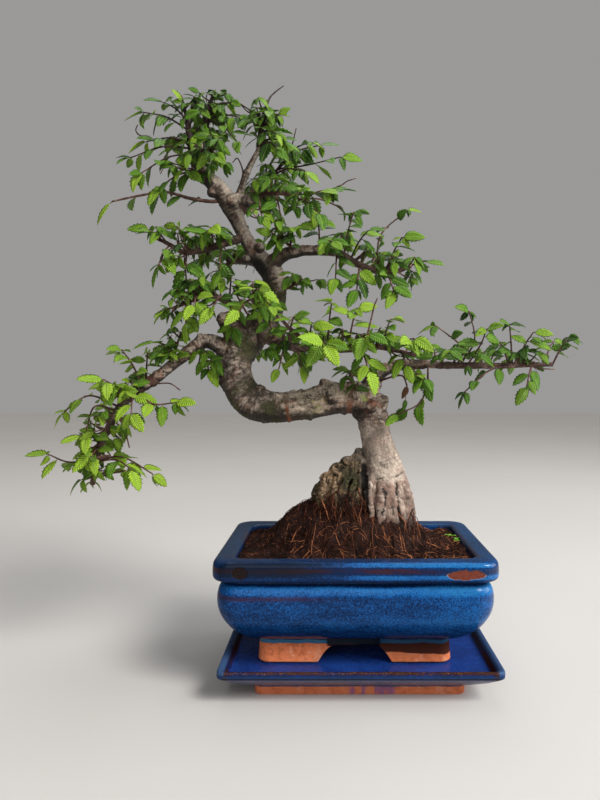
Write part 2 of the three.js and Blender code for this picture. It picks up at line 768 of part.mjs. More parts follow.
/** Every twig and every leaf of the tree, placed in one fixed order. */
function growFoliage() {
  const twigs = [];
  const wood = [];
  for (const limb of [TRUNK, ...LIMBS]) wood.push(...woodSamples(limb, "tree"));
  STEMS.forEach((stem) => {
    wood.push(...woodSamples(stem.path, stem.name));
    const { name, path, leaves = 0, length = 0, shoots = [] } = stem;
    twigs.push({ stem: name, path, leaves, length, isShoot: false });
    for (const side of shoots) {
      const route = shootPath(stem, side);
      wood.push(...woodSamples(route, name));
      twigs.push({ stem: name, path: route, leaves: side.leaves, length: side.length, isShoot: true });
    }
  });
  const placed = [];
  twigs.forEach((twig, index) => {
    const draw = draws(FIRST_SEED + SEED_STEP * index);
    const spans = twig.path.length - 1;
    for (let k = 0; k < twig.leaves; k += 1) {
      const share = twig.leaves > 1 ? k / (twig.leaves - 1) : 1;
      const t = spans * (FIRST_LEAF + (1 - FIRST_LEAF) * share);
      const base = pointOn(twig.path, t);
      const tangent = tangentOn(twig.path, t);
      const last = k === twig.leaves - 1;
      for (let attempt = 0; attempt < LEAF_TRIES; attempt += 1) {
        const side = (k + attempt) % 2 ? 1 : -1;
        const pose = leafPose(base, tangent, side, last, twig.length, draw);
        const marks = leafMarks(pose);
        if (isClear(marks, twig.stem, placed, wood)) {
          const root = chordOn(twig.path, t);
          placed.push({ owner: twig.stem, marks, pose, root, fromTip: twig.leaves - 1 - k });
          break;
        }
      }
    }
  });
  return { twigs, leaves: placed };
}

/** One toothed leaf, folded along its rib, with its stalk end sunk in the twig. */
function leafSolid({ pose, root }) {
  const edge = [
    ...LEAF_EDGE.map(([u, v]) => leafPoint(pose, u, v)),
    leafPoint(pose, 1, 0),
    ...[...LEAF_EDGE].reverse().map(([u, v]) => leafPoint(pose, u, -v)),
  ];
  const points = [
    root.clone().addScaledVector(pose.face, PETIOLE_THICK),
    root.clone().addScaledVector(pose.face, -PETIOLE_THICK),
    leafPoint(pose, LEAF_MIDDLE, 0),
    leafPoint(pose, LEAF_MIDDLE, 0, -LEAF_THICK),
    ...edge,
  ].map((p) => p.toArray());
  const [stalkTop, stalkUnder, top, under, first] = [0, 1, 2, 3, 4];
  const last = points.length - 1;
  const triangles = [
    [stalkTop, stalkUnder, first],
    [stalkTop, last, stalkUnder],
    [stalkTop, first, top],
    [stalkTop, top, last],
    [stalkUnder, under, first],
    [stalkUnder, last, under],
  ];
  for (let k = first; k < last; k += 1) {
    triangles.push([k, k + 1, top], [k + 1, k, under]);
  }
  return solid(points, triangles);
}

/** The largest closed surface of a solid: loose scraps and sealed hollows are dropped. */
function largestBody(body) {
  const mesh = body.getMesh();
  const count = mesh.vertProperties.length / mesh.numProp;
  const parent = Array.from({ length: count }, (_, i) => i);
  const find = (i) => {
    let root = i;
    while (parent[root] !== root) root = parent[root];
    while (parent[i] !== root) [parent[i], i] = [root, parent[i]];
    return root;
  };
  for (let k = 0; k < mesh.mergeFromVert.length; k += 1) {
    parent[find(mesh.mergeFromVert[k])] = find(mesh.mergeToVert[k]);
  }
  const tris = mesh.triVerts;
  for (let k = 0; k < tris.length; k += 3) {
    parent[find(tris[k])] = find(tris[k + 1]);
    parent[find(tris[k + 1])] = find(tris[k + 2]);
  }
  const groups = new Map();
  for (let k = 0; k < tris.length; k += 3) {
    const root = find(tris[k]);
    if (!groups.has(root)) groups.set(root, []);
    groups.get(root).push([tris[k], tris[k + 1], tris[k + 2]]);
  }
  if (groups.size === 1) return body;
  const largest = [...groups.values()].sort((a, b) => b.length - a.length)[0];
  const points = [];
  for (let k = 0; k < count; k += 1) {
    const at = k * mesh.numProp;
    points.push([mesh.vertProperties[at], mesh.vertProperties[at + 1], mesh.vertProperties[at + 2]]);
  }
  return solid(points, largest);
}

/** A leafy stem: its wood, its side shoots and part of its leaves, fused. */
function makeStem(stem, foliage, grownWood) {
  const sides = stem.path[0][3] > THIN_STEM ? STEM_SIDES : THIN_STEM_SIDES;
  let body = branch(stem.path, { sides, perSpan: 1 });
  for (const twig of foliage.twigs) {
    if (!twig.isShoot || twig.stem !== stem.name) continue;
    body = body.add(branch(twig.path, { sides: SHOOT_SIDES, perSpan: 1 }));
  }
  for (const leaf of foliage.leaves) {
    if (leaf.owner !== stem.name || leaf.fromTip % LEAF_CYCLE) continue;
    body = body.add(leafSolid(leaf));
  }
  return largestBody(body.subtract(grownWood));
}

/** The drip tray: a flat foot, a flared wall, a lip and a flat floor. */
function makeTray() {
  const rings = TRAY_LEVELS.map(([length, depth, corner, z]) => levelRing(length, depth, corner, z));
  return loft(rings).translate([TRAY_SHIFT, 0, 0]);
}

/** A passage through the pot's foot, round in its upper corners, along Y or X. */
function footArch({ bottomHalf, topHalf, height }, alongX) {
  const shape = new THREE.Shape();
  shape.moveTo(-bottomHalf, -2);
  shape.lineTo(bottomHalf, -2);
  shape.quadraticCurveTo(bottomHalf - 1, height * 0.75, topHalf, height);
  shape.lineTo(-topHalf, height);
  shape.quadraticCurveTo(1 - bottomHalf, height * 0.75, -bottomHalf, -2);
  const reach = { depth: CUT_REACH, bevelEnabled: false, curveSegments: 5 };
  const geometry = new THREE.ExtrudeGeometry(shape, reach);
  geometry.translate(0, 0, -CUT_REACH / 2);
  geometry.rotateX(Math.PI / 2);
  if (alongX) geometry.rotateZ(Math.PI / 2);
  geometry.translate(0, 0, TRAY_FLOOR + GAP);
  return solidOf(geometry);
}

/** The ring of feet under the pot, with an arch in each side. */
function makeFeet() {
  const bottom = TRAY_FLOOR + GAP;
  const footRing = (wider, z) => {
    return levelRing(FOOT_HALF_LENGTH + wider, FOOT_HALF_DEPTH + wider, FOOT_CORNER, z);
  };
  const outside = loft([
    footRing(0, bottom),
    footRing(FOOT_FLARE, bottom + 1.5),
    footRing(-1, bottom + FOOT_HEIGHT + 2),
  ]);
  const hollow = loft([
    footRing(-FOOT_WALL, bottom - 1),
    footRing(-FOOT_WALL, bottom + FOOT_HEIGHT - 0.3),
  ]);
  return outside
    .subtract(hollow)
    .subtract(footArch(FRONT_ARCH, false))
    .subtract(footArch(SIDE_ARCH, true));
}

/** The glazed pot: bulged body, waist, rolled lip, feet and two drainage holes. */
function makePot() {
  const levels = [...POT_LEVELS, ...POT_INSIDE];
  const rings = levels.map(([length, corner, z]) => levelRing(length, length - DEPTH_LESS, corner, z));
  let pot = loft(rings).add(makeFeet());
  for (const side of [-1, 1]) {
    const hole = new THREE.CylinderGeometry(HOLE_RADIUS, HOLE_RADIUS, 30, 14);
    hole.rotateX(Math.PI / 2);
    hole.translate(side * HOLE_X, 0, POT_FLOOR - 5);
    pot = pot.subtract(solidOf(hole));
  }
  return pot;
}

/** A square of plastic mesh over one drainage hole. */
function makeDrainMesh(side) {
  const sheet = new THREE.BoxGeometry(MESH_SIDE, MESH_SIDE, MESH_THICK);
  let mesh = solidOf(sheet);
  for (const i of [-1, 0, 1]) {
    for (const j of [-1, 0, 1]) {
      const hole = new THREE.BoxGeometry(MESH_HOLE, MESH_HOLE, 2 * MESH_THICK);
      hole.translate(i * MESH_PITCH, j * MESH_PITCH, 0);
      mesh = mesh.subtract(solidOf(hole));
    }
  }
  return mesh.translate([side * HOLE_X, 0, POT_FLOOR + GAP + MESH_THICK / 2]);
}

/** Height of the heaped soil over a point of the pot. */
function soilHeight(x, y) {
  const square = ((x - HEAP_X) / HEAP_LENGTH) ** 2 + ((y - HEAP_Y) / HEAP_DEPTH) ** 2;
  const small = 1.1 * Math.sin(0.31 * x + 1) * Math.cos(0.37 * y);
  const wide = 0.9 * Math.sin(0.13 * x - 0.21 * y);
  return SOIL_EDGE + HEAP_HEIGHT * Math.exp(-square * square) + small + wide;
}

/** The soil: it fills the pot and is heaped over the root ball. */
function makeSoil(grownWood) {
  const sideSteps = 2;
  const walls = [...POT_INSIDE].reverse().map(([length, corner, z]) => {
    const inset = length - WALL_GAP;
    return levelRing(inset, inset - DEPTH_LESS, corner, z + GAP, sideSteps);
  });
  const rim = POT_INSIDE[0][0] - WALL_GAP;
  const heap = [];
  for (let k = 0; k < HEAP_RINGS; k += 1) {
    const share = 1 - k / HEAP_RINGS;
    const ring = levelRing(rim * share, (rim - DEPTH_LESS) * share, HEAP_CORNER * share, 0, sideSteps);
    heap.push(ring.map(([x, y]) => [x, y, soilHeight(x, y)]));
  }
  let soil = loft([...walls, ...heap]).subtract(grownWood);
  for (const side of [-1, 1]) {
    const reach = MESH_SIDE + 2 * GAP;
    const pocket = new THREE.BoxGeometry(reach, reach, 2 * (MESH_THICK + GAP) + 2 * GAP);
    pocket.translate(side * HOLE_X, 0, SOIL_BOTTOM);
    soil = soil.subtract(solidOf(pocket));
  }
  return largestBody(soil);
}

/** A named mesh of a finished solid. */
function meshOf(name, body, material) {
  const mesh = body.getMesh();
  const geometry = new THREE.BufferGeometry();
  const positions = [];
  for (let k = 0; k < mesh.vertProperties.length; k += mesh.numProp) {
    positions.push(mesh.vertProperties[k], mesh.vertProperties[k + 1], mesh.vertProperties[k + 2]);
  }
  geometry.setAttribute("position", new THREE.Float32BufferAttribute(positions, 3));
  geometry.setIndex(Array.from(mesh.triVerts));
  geometry.computeVertexNormals();
  const named = new THREE.Mesh(geometry, material);
  named.name = name;
  return named;
}

const GLAZE = new THREE.MeshStandardMaterial({ color: 0x1f5c96, roughness: 0.22, metalness: 0 });
const TRAY_GLAZE = new THREE.MeshStandardMaterial({ color: 0x243a8c, roughness: 0.25, metalness: 0 });
const BARK = new THREE.MeshStandardMaterial({ color: 0x6b5d52, roughness: 0.9, metalness: 0 });
const LEAF = new THREE.MeshStandardMaterial({ color: 0x6ea32a, roughness: 0.5, metalness: 0 });
const WITHERED = new THREE.MeshStandardMaterial({ color: 0x6b3f2c, roughness: 0.8, metalness: 0 });
const FIBRE = new THREE.MeshStandardMaterial({ color: 0x4a2a1c, roughness: 1, metalness: 0 });
const PLASTIC = new THREE.MeshStandardMaterial({ color: 0x1c1f1e, roughness: 0.6, metalness: 0 });

/** The whole plant in its pot on the tray. */
function buildBonsai() {
  const group = new THREE.Group();
  const grownWood = makeWood(WOOD_GAP);
  const foliage = growFoliage();
  group.add(meshOf("drip_tray", makeTray(), TRAY_GLAZE));
  group.add(meshOf("pot", makePot(), GLAZE));
  group.add(meshOf("drain_mesh_left", makeDrainMesh(-1), PLASTIC));
  group.add(meshOf("drain_mesh_right", makeDrainMesh(1), PLASTIC));
  group.add(meshOf("soil", makeSoil(grownWood), FIBRE));
  group.add(meshOf("tree", makeWood(0), BARK));
  for (const stem of STEMS) {
    const finish = stem.name === "stem_withered" ? WITHERED : LEAF;
    group.add(meshOf(stem.name, makeStem(stem, foliage, grownWood), finish));
  }
  return group;
}

export default buildBonsai();
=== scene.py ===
"""Looks of a Chinese elm bonsai: a glazed pot on its drip tray, fibre soil, bark and leaves.

The solid part gives each piece its place. Every shape here is worked out in millimetres in the
same frame and put into its mesh in metres.
"""

import logging
import math
from dataclasses import dataclass, field
from enum import Enum
from typing import Iterable, Sequence

import bpy
import numpy as np
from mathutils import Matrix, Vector


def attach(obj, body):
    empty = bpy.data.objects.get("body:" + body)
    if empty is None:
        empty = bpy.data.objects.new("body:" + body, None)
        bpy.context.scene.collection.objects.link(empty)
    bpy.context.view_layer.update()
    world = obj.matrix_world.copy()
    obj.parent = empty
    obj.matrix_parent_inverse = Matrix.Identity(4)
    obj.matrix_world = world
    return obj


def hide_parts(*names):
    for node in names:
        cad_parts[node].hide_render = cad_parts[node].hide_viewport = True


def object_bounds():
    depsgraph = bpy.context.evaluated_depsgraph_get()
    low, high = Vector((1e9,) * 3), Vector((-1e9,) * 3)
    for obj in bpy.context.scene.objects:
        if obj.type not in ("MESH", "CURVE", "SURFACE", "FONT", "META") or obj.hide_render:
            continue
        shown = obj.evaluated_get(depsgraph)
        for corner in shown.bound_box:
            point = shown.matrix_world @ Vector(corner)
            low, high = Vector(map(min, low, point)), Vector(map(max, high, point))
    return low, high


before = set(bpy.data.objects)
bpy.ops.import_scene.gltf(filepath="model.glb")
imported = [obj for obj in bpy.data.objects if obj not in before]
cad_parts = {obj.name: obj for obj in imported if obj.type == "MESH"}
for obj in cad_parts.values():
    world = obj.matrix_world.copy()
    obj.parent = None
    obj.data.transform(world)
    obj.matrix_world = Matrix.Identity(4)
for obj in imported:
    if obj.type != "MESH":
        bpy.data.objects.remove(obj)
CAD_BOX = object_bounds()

log = logging.getLogger("bonsai")

Array = np.ndarray
Point = tuple[float, ...]
Path = tuple[Point, ...]
Colour = tuple[float, float, float]
Material = bpy.types.Material
Mesh = bpy.types.Mesh
Object = bpy.types.Object
Socket = bpy.types.NodeSocket

MM = 0.001
TO_MM = (1000.0, 1000.0, 1000.0)
ROOT = "root"
UP = np.array([0.0, 0.0, 1.0])
# How far a leaf's halves are folded up, as a share of their width
FOLD = 0.28
# Where the photo was taken from, in millimetres
EYE: Point = (-15.9, -485.5, 222.4)


class Slot(Enum):
    """The finishes of the record meant for the pieces here; the drain meshes bring their own."""

    TRAY = "tray_glaze"
    POT = "pot_glaze"
    SOIL = "soil_fibre"
    BARK = "bark"
    LEAF = "leaf"
    WITHERED = "withered_leaf"


@dataclass(frozen=True)
class Shoot:
    """A side shoot: where it leaves its stem, its leaves, and the points it runs through."""

    at: float
    leaves: int
    length: float
    points: Path


@dataclass(frozen=True)
class Stem:
    """A leafy stem: its main path as x, y, z and radius, its own leaves, and its shoots."""

    name: str
    path: Path
    leaves: int = 0
    length: float = 0
    shoots: tuple[Shoot, ...] = ()


# Where the wood runs, in millimetres: each point is x, y, z and radius
TRUNK: Path = (
    (29, 2, 85, 17), (28, 0, 113, 20), (27, 0, 133, 18), (24, 0, 154, 14.5), (18, 0, 180, 12),
    (14, -1, 200, 12.5), (4, -3, 210, 13.5), (-14, -6, 210, 12), (-38, -9, 206, 11.5),
    (-61, -10, 204, 12), (-80, -8, 208, 13), (-91, -4, 225, 13), (-93, 2, 244, 14),
    (-82, 7, 260, 13.5), (-68, 9, 275, 10), (-60, 9, 291, 7), (-64, 7, 309, 9.5),
    (-76, 4, 323, 8.5), (-87, 1, 341, 7), (-95, -1, 360, 8), (-105, -3, 374, 8),
    (-115, -3, 384, 6.5), (-124, -2, 399, 5),
)
LIMBS: tuple[Path, ...] = (
    ((-85, 0, 248, 9), (-91, -4, 258, 8.6), (-97, -7, 267, 8), (-102, -10, 275, 7)),
    (
        (-91, 0, 242, 9), (-103, -3, 251, 7), (-116, -6, 255, 6), (-129, -10, 245, 5.2),
        (-143, -15, 233, 4.9), (-153, -18, 224, 4.7),
    ),
    ((10, -3, 212, 9), (19, -4, 229, 6.2), (35, -6, 236, 5.2), (56, -8, 237, 4.4)),
    ((-69, 5, 314, 7), (-56, 1, 323, 5.6), (-42, -3, 326, 5), (-28, -5, 326, 4.4)),
    ((-117, -2, 387, 5.5), (-122, 3, 407, 4.4), (-118, 7, 427, 3.4)),
    ((-91, -1, 364, 6), (-87, -3, 377, 4.6), (-82, -4, 390, 4.2), (-73, -4, 407, 3.6)),
)
ROOTS: tuple[Path, ...] = (
    (
        (14, -3, 157, 6), (4, -3, 154, 6.5), (-6, -3, 147, 8), (-14, -2, 134, 9.5),
        (-17, -1, 116, 11), (-21, -1, 92, 8),
    ),
    ((8, -2, 150, 6), (-3, -5, 141, 6.5), (-6, -7, 122, 6.5), (-9, -10, 98, 5)),
    ((4, 4, 150, 8), (-9, 11, 136, 9), (-16, 17, 116, 8.5), (-22, 22, 94, 5)),
    ((32, -3, 148, 7), (38, -6, 137, 7), (40.5, -7, 124, 6.2), (42, -8, 100, 5)),
    ((26, -6, 146, 6.5), (27.5, -11, 134, 6.2), (27, -14, 122, 5.4), (26, -18, 98, 3.4)),
    ((30, 6, 140, 8), (34, 15, 122, 9), (38, 23, 104, 6), (40, 28, 88, 4)),
    ((16, -6, 150, 7), (14.8, -9, 139, 6.8), (14.2, -11, 126, 6.6), (13, -14, 102, 4.6)),
    ((24, 2, 146, 12), (25, 2, 128, 13), (26, 2, 104, 12)),
)
# Cords of the root clump, from the trunk over the hump and down into the soil
CORDS: tuple[Path, ...] = (
    (
        (9, -6, 161, 2.6), (-5, -8, 159, 3.2), (-16, -9, 152, 3.6), (-23.5, -9, 141, 3.4),
        (-26, -9, 126, 3), (-28, -10, 108, 2.2),
    ),
    (
        (7, -11, 159, 2.4), (-4, -13, 158, 3), (-13, -15, 149, 3.4), (-18, -15, 135, 3),
        (-19, -16, 120, 2.8), (-20, -18, 106, 2),
    ),
    (
        (6, -12, 156, 2.2), (-2, -15, 153, 2.4), (-8, -17, 143, 2.8), (-11, -18, 129, 2.6),
        (-12, -19, 110, 2),
    ),
    (
        (5, -11, 153, 2), (1, -14, 147, 2.2), (-2, -17, 136, 2.4), (-4, -18, 122, 2.2),
        (-5, -20, 106, 1.6),
    ),
    (
        (6, -9, 150, 2), (4, -12, 141, 1.8), (2, -16, 130, 1.8), (2, -18, 118, 1.6),
        (1, -20, 106, 1.4),
    ),
    ((5, -5, 147, 3), (6, -8, 136, 3.2), (6, -11, 124, 3), (5, -14, 106, 2.4)),
    ((-20, -12, 146, 2.2), (-24, -14, 137, 2.8), (-22, -15, 124, 2.4), (-26, -16, 108, 2)),
    ((-12, -15, 152, 1.8), (-15, -18, 143, 2), (-13, -19, 130, 1.8), (-16, -20, 114, 1.6)),
    ((-12, 0, 152, 3), (-27, 1, 140, 3.2), (-31, 2, 124, 3), (-34, 2, 108, 2)),
    ((39, -11, 143, 2), (42, -12, 132, 2.8), (40, -14, 120, 2.6), (42, -15, 106, 2)),
    ((12, -14, 147, 2), (10, -18, 137, 2.8), (12, -20, 124, 2.6), (10, -22, 106, 2)),
    ((21, -14, 147, 2.2), (22, -18, 136, 3.2), (20, -20, 124, 3), (22, -22, 106, 2.4)),
)
# The leafy stems: name, own leaves and their length, main path, and shoots, each with the
# place where it leaves the path, its leaves and their length, and its points
STEM_ROWS = (
    ("stem_lower_left", 0, 0, (
        (-153, -18, 224, 4.7), (-165, -20, 216, 4.2), (-177, -20, 204, 3.7), (-186, -18, 189, 3.4),
        (-193, -16, 177, 3.1), (-198, -12, 162, 2.8), (-202, -10, 144, 2.3),
    ), (
        (0.4, 5, 16, (-160, -8, 246)), (0.6, 7, 17, (-173, -28, 247)),
        (0.2, 5, 16, (-175, 22, 230)), (0.9, 6, 18, (-149, -32, 207), (-131, -36, 208)),
        (1.2, 3, 21, (-162, -40, 201)), (1.7, 6, 18, (-181, -42, 225)),
        (2, 5, 16, (-197, -28, 213), (-214, -30, 202)),
        (2.2, 0, 0, (-193, -28, 205), (-198, -32, 187)),
        (2.3, 0, 0, (-172, -26, 189), (-168, -26, 174)), (2.7, 5, 16, (-204, 20, 202)),
        (3.8, 4, 18, (-202, -30, 183)), (4.4, 3, 19, (-191, -38, 169)),
        (4.8, 4, 17, (-217, -16, 162), (-232, -18, 168)),
        (5, 4, 22, (-178, -26, 165), (-166, -30, 159)),
        (5, 5, 18, (-177, -16, 166), (-152, -22, 154)), (5.7, 3, 15, (-182, -2, 153)),
    )),
    ("stem_low_inner", 5, 17, (
        (-139, -14, 235, 1.6), (-136, -16, 248, 1.3), (-132, -16, 261, 0.9),
    ), (
        (0.8, 4, 16, (-148, -24, 253)), (1, 4, 16, (-152, 14, 249)),
    )),
    ("stem_low_hang", 3, 16, (
        (-120, -7, 253, 1.4), (-115, -12, 243, 1.1), (-111, -17, 234, 0.8),
    ), ()),
    ("stem_right", 0, 0, (
        (56, -8, 237, 4.4), (76, -8, 236, 4), (97, -8, 236, 3.7), (124, -6, 236, 3),
        (156, -4, 237, 2.2),
    ), (
        (0.1, 5, 16, (56, -14, 219), (49, -16, 206), (33, -20, 199)), (0.6, 5, 17, (70, -32, 247)),
        (0.4, 5, 16, (68, 28, 250)), (1.3, 5, 16, (93, -12, 255), (90, -8, 278)),
        (1.2, 4, 17, (83, -16, 249), (63, -16, 266)),
        (1.6, 4, 17, (96, -18, 251), (100, -22, 263)), (2.1, 5, 16, (111, 32, 248)),
        (2.9, 4, 16, (120, 16, 256)), (3, 5, 17, (121, -8, 268)), (3.1, 5, 18, (137, -16, 261)),
        (3, 4, 16, (104, -14, 232), (85, -16, 216)), (3.5, 4, 16, (132, -16, 220)),
        (3.8, 4, 16, (163, 14, 256)), (4, 5, 17, (170, -4, 259)),
    )),
    ("stem_right_inner", 4, 15, (
        (39, -6, 237, 1.4), (45, -20, 231, 1.1), (52, -30, 226, 0.8),
    ), ()),
    ("stem_withered", 1, 13, (
        (16, -4, 222, 1.3), (26, -12, 226, 1), (37, -14, 228, 0.9), (41, -14, 220, 0.7),
    ), ()),
    ("stem_middle", 0, 0, (
        (-76, 4, 261, 6), (-63, -12, 255, 5), (-48, -24, 250, 4.2), (-27, -32, 247, 3.6),
        (-5, -36, 247, 3), (11, -36, 249, 2.5), (27, -34, 247, 2.1), (45, -30, 243, 1.7),
    ), (
        (1.2, 6, 16, (-66, -46, 277)), (1.8, 4, 15, (-55, -40, 233)),
        (1.9, 5, 16, (-44, -48, 269)), (2.3, 3, 16, (-39, -42, 235)),
        (2.7, 4, 17, (-31, -52, 265)), (3, 7, 22, (-21, -62, 250)), (3.3, 6, 18, (-17, -42, 280)),
        (3.5, 4, 16, (-14, -6, 257)), (4, 5, 18, (1, -44, 276)), (4.2, 5, 18, (8, -60, 256)),
        (4.5, 5, 19, (9, -52, 232)), (5.6, 5, 16, (26, -36, 269)), (6.2, 5, 17, (41, -50, 254)),
        (6.4, 3, 17, (36, -46, 236)), (7, 4, 17, (56, -22, 250)),
    )),
    ("stem_elbow", 3, 14, ((-1, -12, 212, 1.4), (-1, -20, 223, 1.1), (-2, -24, 231, 0.8)), ()),
    ("stem_upper_right", 0, 0, (
        (-28, -5, 326, 4.4), (-11, -7, 323, 3.6), (7, -8, 313, 2.9), (30, -8, 309, 2.3),
        (45, -8, 313, 1.6),
    ), (
        (0.1, 6, 17, (-27, -16, 347)), (0.2, 5, 17, (-17, -40, 325)), (0.6, 5, 16, (-18, 36, 345)),
        (0.9, 4, 17, (-14, -28, 301)), (1, 4, 16, (-9, 16, 345)), (1.2, 6, 17, (0, -8, 355)),
        (1.5, 5, 17, (10, -22, 337)), (1.9, 5, 17, (2, -24, 293)), (2.3, 5, 16, (23, 30, 329)),
        (2.5, 5, 16, (21, -8, 337), (42, -6, 357)), (2.7, 6, 17, (29, -30, 291)),
        (2.8, 5, 17, (36, -22, 332)), (3.9, 4, 16, (55, -12, 316)),
    )),
    ("stem_upper_inner", 4, 16, (
        (-45, -3, 326, 1.7), (-52, -14, 330, 1.3), (-61, -24, 334, 0.9),
    ), (
        (0.6, 4, 16, (-45, -20, 340)),
    )),
    ("stem_trunk_twig", 2, 13, ((-59, 8, 295, 1.5), (-49, -2, 298, 1.1), (-40, -8, 303, 0.8)), ()),
    ("stem_upper_left", 0, 0, (
        (-86, 0, 337, 4.6), (-100, -4, 332, 3.8), (-115, -8, 326, 3.2), (-130, -12, 323, 2.6),
        (-142, -14, 329, 2), (-153, -16, 334, 1.4),
    ), (
        (1.2, 4, 16, (-101, -24, 307)), (1.6, 5, 21, (-107, -28, 338)),
        (2, 5, 16, (-128, 24, 333)), (2.4, 4, 15, (-127, 8, 348)), (2.8, 4, 16, (-136, -12, 343)),
        (2.9, 6, 21, (-128, -18, 308), (-126, -20, 294)), (3.9, 4, 19, (-145, -28, 311)),
        (4.9, 4, 16, (-155, -18, 339)),
    )),
    ("stem_inner_left", 0, 0, (
        (-79, 6, 262, 6), (-89, -4, 274, 4.6), (-98, -12, 285, 3.4), (-111, -18, 289, 2.7),
        (-124, -22, 284, 2.1), (-137, -24, 278, 1.5),
    ), (
        (1.8, 5, 16, (-93, -20, 302)), (2.2, 4, 16, (-103, -40, 278)),
        (2.8, 5, 16, (-120, 18, 299)), (3.1, 5, 16, (-115, -28, 302)),
        (3.5, 4, 16, (-116, -44, 279)), (4, 4, 16, (-140, 14, 296)),
        (4.2, 4, 17, (-123, -38, 267)), (4.9, 4, 16, (-141, -26, 277)),
    )),
    ("stem_front", 0, 0, (
        (-68, 6, 276, 4.6), (-70, -14, 280, 3.4), (-73, -30, 282, 2.6), (-75, -44, 283, 1.8),
    ), (
        (2.3, 4, 16, (-59, -60, 276)), (2.7, 4, 16, (-80, -60, 273)),
        (2.9, 5, 16, (-67, -64, 287)),
    )),
    ("stem_crown_top", 4, 15, ((-118, 7, 427, 3.4), (-115, 9, 445, 2.3), (-112, 9, 456, 1.2)), (
        (0.3, 4, 16, (-89, -18, 406)), (0.3, 5, 16, (-90, -6, 430)), (0.4, 4, 16, (-123, 36, 452)),
        (0.7, 4, 15, (-97, 2, 445)), (0.8, 4, 15, (-124, -6, 440)),
    )),
    ("stem_trunk_top", 3, 15, (
        (-124, -2, 399, 5), (-128, -3, 414, 3.6), (-130, -5, 429, 2.2), (-133, -4, 440, 1.1),
    ), (
        (0.2, 5, 18, (-158, -28, 379)), (0.5, 5, 17, (-169, -18, 394)),
        (0.8, 5, 16, (-160, -8, 410)), (1, 5, 16, (-153, 30, 418)), (1.4, 7, 17, (-160, -16, 429)),
        (1.9, 5, 15, (-146, -10, 439)),
    )),
    ("stem_crown_low", 4, 16, (
        (-118, -3, 390, 1.8), (-122, -16, 384, 1.4), (-127, -28, 381, 0.9),
    ), (
        (0.9, 4, 18, (-145, -24, 370)),
    )),
    ("stem_crown_front", 5, 17, (
        (-121, 3, 405, 1.8), (-112, -18, 399, 1.4), (-102, -38, 390, 0.9),
    ), (
        (0.8, 4, 17, (-120, -38, 390)),
    )),
    ("stem_crown_rear", 5, 16, ((-120, 5, 417, 2), (-124, 24, 429, 1.5), (-130, 44, 440, 0.9)), (
        (0.6, 4, 16, (-150, 38, 431)), (0.8, 4, 16, (-107, 40, 436)),
    )),
    ("stem_long", 5, 20, (
        (-99, -2, 367, 2), (-110, -6, 364, 1.8), (-126, -14, 364, 1.6), (-143, -20, 367, 1.3),
        (-161, -24, 363, 1.1), (-181, -26, 358, 0.8),
    ), ()),
    ("stem_crown_right", 0, 0, (
        (-73, -4, 407, 3.4), (-72, -3, 420, 3), (-70, -2, 434, 2.3), (-66, 0, 447, 1.5),
        (-61, 1, 453, 1.2), (-55, 2, 458, 0.8),
    ), (
        (0.1, 4, 16, (-57, -34, 395)), (0.3, 5, 16, (-56, -10, 410)),
        (0.8, 5, 16, (-59, -28, 408)), (1.4, 3, 15, (-83, 16, 438)), (1.8, 4, 15, (-64, -20, 428)),
        (1.9, 0, 0, (-82, 2, 439), (-93, 4, 447)),
    )),
    ("stem_crown_back", 0, 0, (
        (-90, 6, 366, 4.6), (-79, 9, 377, 3.8), (-72, 14, 384, 3.2), (-63, 18, 395, 2.6),
        (-57, 20, 405, 2), (-50, 20, 417, 1.5), (-46, 18, 431, 0.9),
    ), (
        (2, 5, 16, (-57, 46, 398)), (2.7, 5, 16, (-39, -6, 388)),
        (3.3, 5, 18, (-39, 14, 399), (-10, 6, 403)), (3.8, 4, 16, (-27, 26, 420)),
        (4.1, 5, 17, (-34, 6, 415)), (4.6, 4, 15, (-65, 40, 427)),
    )),
    ("stem_crown_side", 0, 0, (
        (-88, -5, 360, 4.2), (-76, -8, 367, 3.4), (-63, -13, 368, 2.8), (-50, -17, 366, 2.2),
        (-38, -19, 360, 1.6),
    ), (
        (1.1, 4, 16, (-69, -28, 347)), (2.2, 4, 16, (-55, -26, 347)),
        (3.6, 4, 17, (-27, -32, 348)), (3.7, 4, 16, (-9, -8, 358)), (3.9, 5, 18, (-18, -22, 368)),
    )),
    ("stem_back_top", 0, 0, (
        (-93, 2, 356, 4.4), (-88, 22, 365, 3.4), (-82, 40, 377, 2.4), (-73, 54, 383, 1.6),
    ), (
        (2.2, 4, 16, (-80, 60, 406)), (2.7, 4, 16, (-66, 66, 371)), (2.9, 4, 16, (-53, 62, 395)),
    )),
    ("stem_back_mid", 0, 0, (
        (-73, 8, 319, 5.2), (-85, 30, 324, 4), (-102, 50, 328, 2.9), (-115, 66, 326, 1.8),
    ), (
        (1.1, 4, 16, (-84, 48, 347)), (2.3, 4, 16, (-117, 76, 348)), (2.7, 4, 16, (-123, 76, 306)),
        (2.9, 4, 16, (-137, 80, 334)),
    )),
    ("stem_back_low", 0, 0, (
        (-87, 8, 253, 7), (-80, 30, 260, 4.6), (-71, 52, 263, 3.2), (-55, 72, 261, 2),
    ), (
        (1.5, 4, 16, (-95, 58, 277)), (2.6, 4, 16, (-52, 84, 284)), (2.8, 4, 16, (-46, 84, 246)),
        (3, 4, 16, (-30, 80, 268)),
    )),
)
STEMS: tuple[Stem, ...] = tuple(
    Stem(name, path, leaves, length, tuple(Shoot(*shoot[:3], shoot[3:]) for shoot in shoots))
    for name, leaves, length, path, shoots in STEM_ROWS
)


# Surfaces


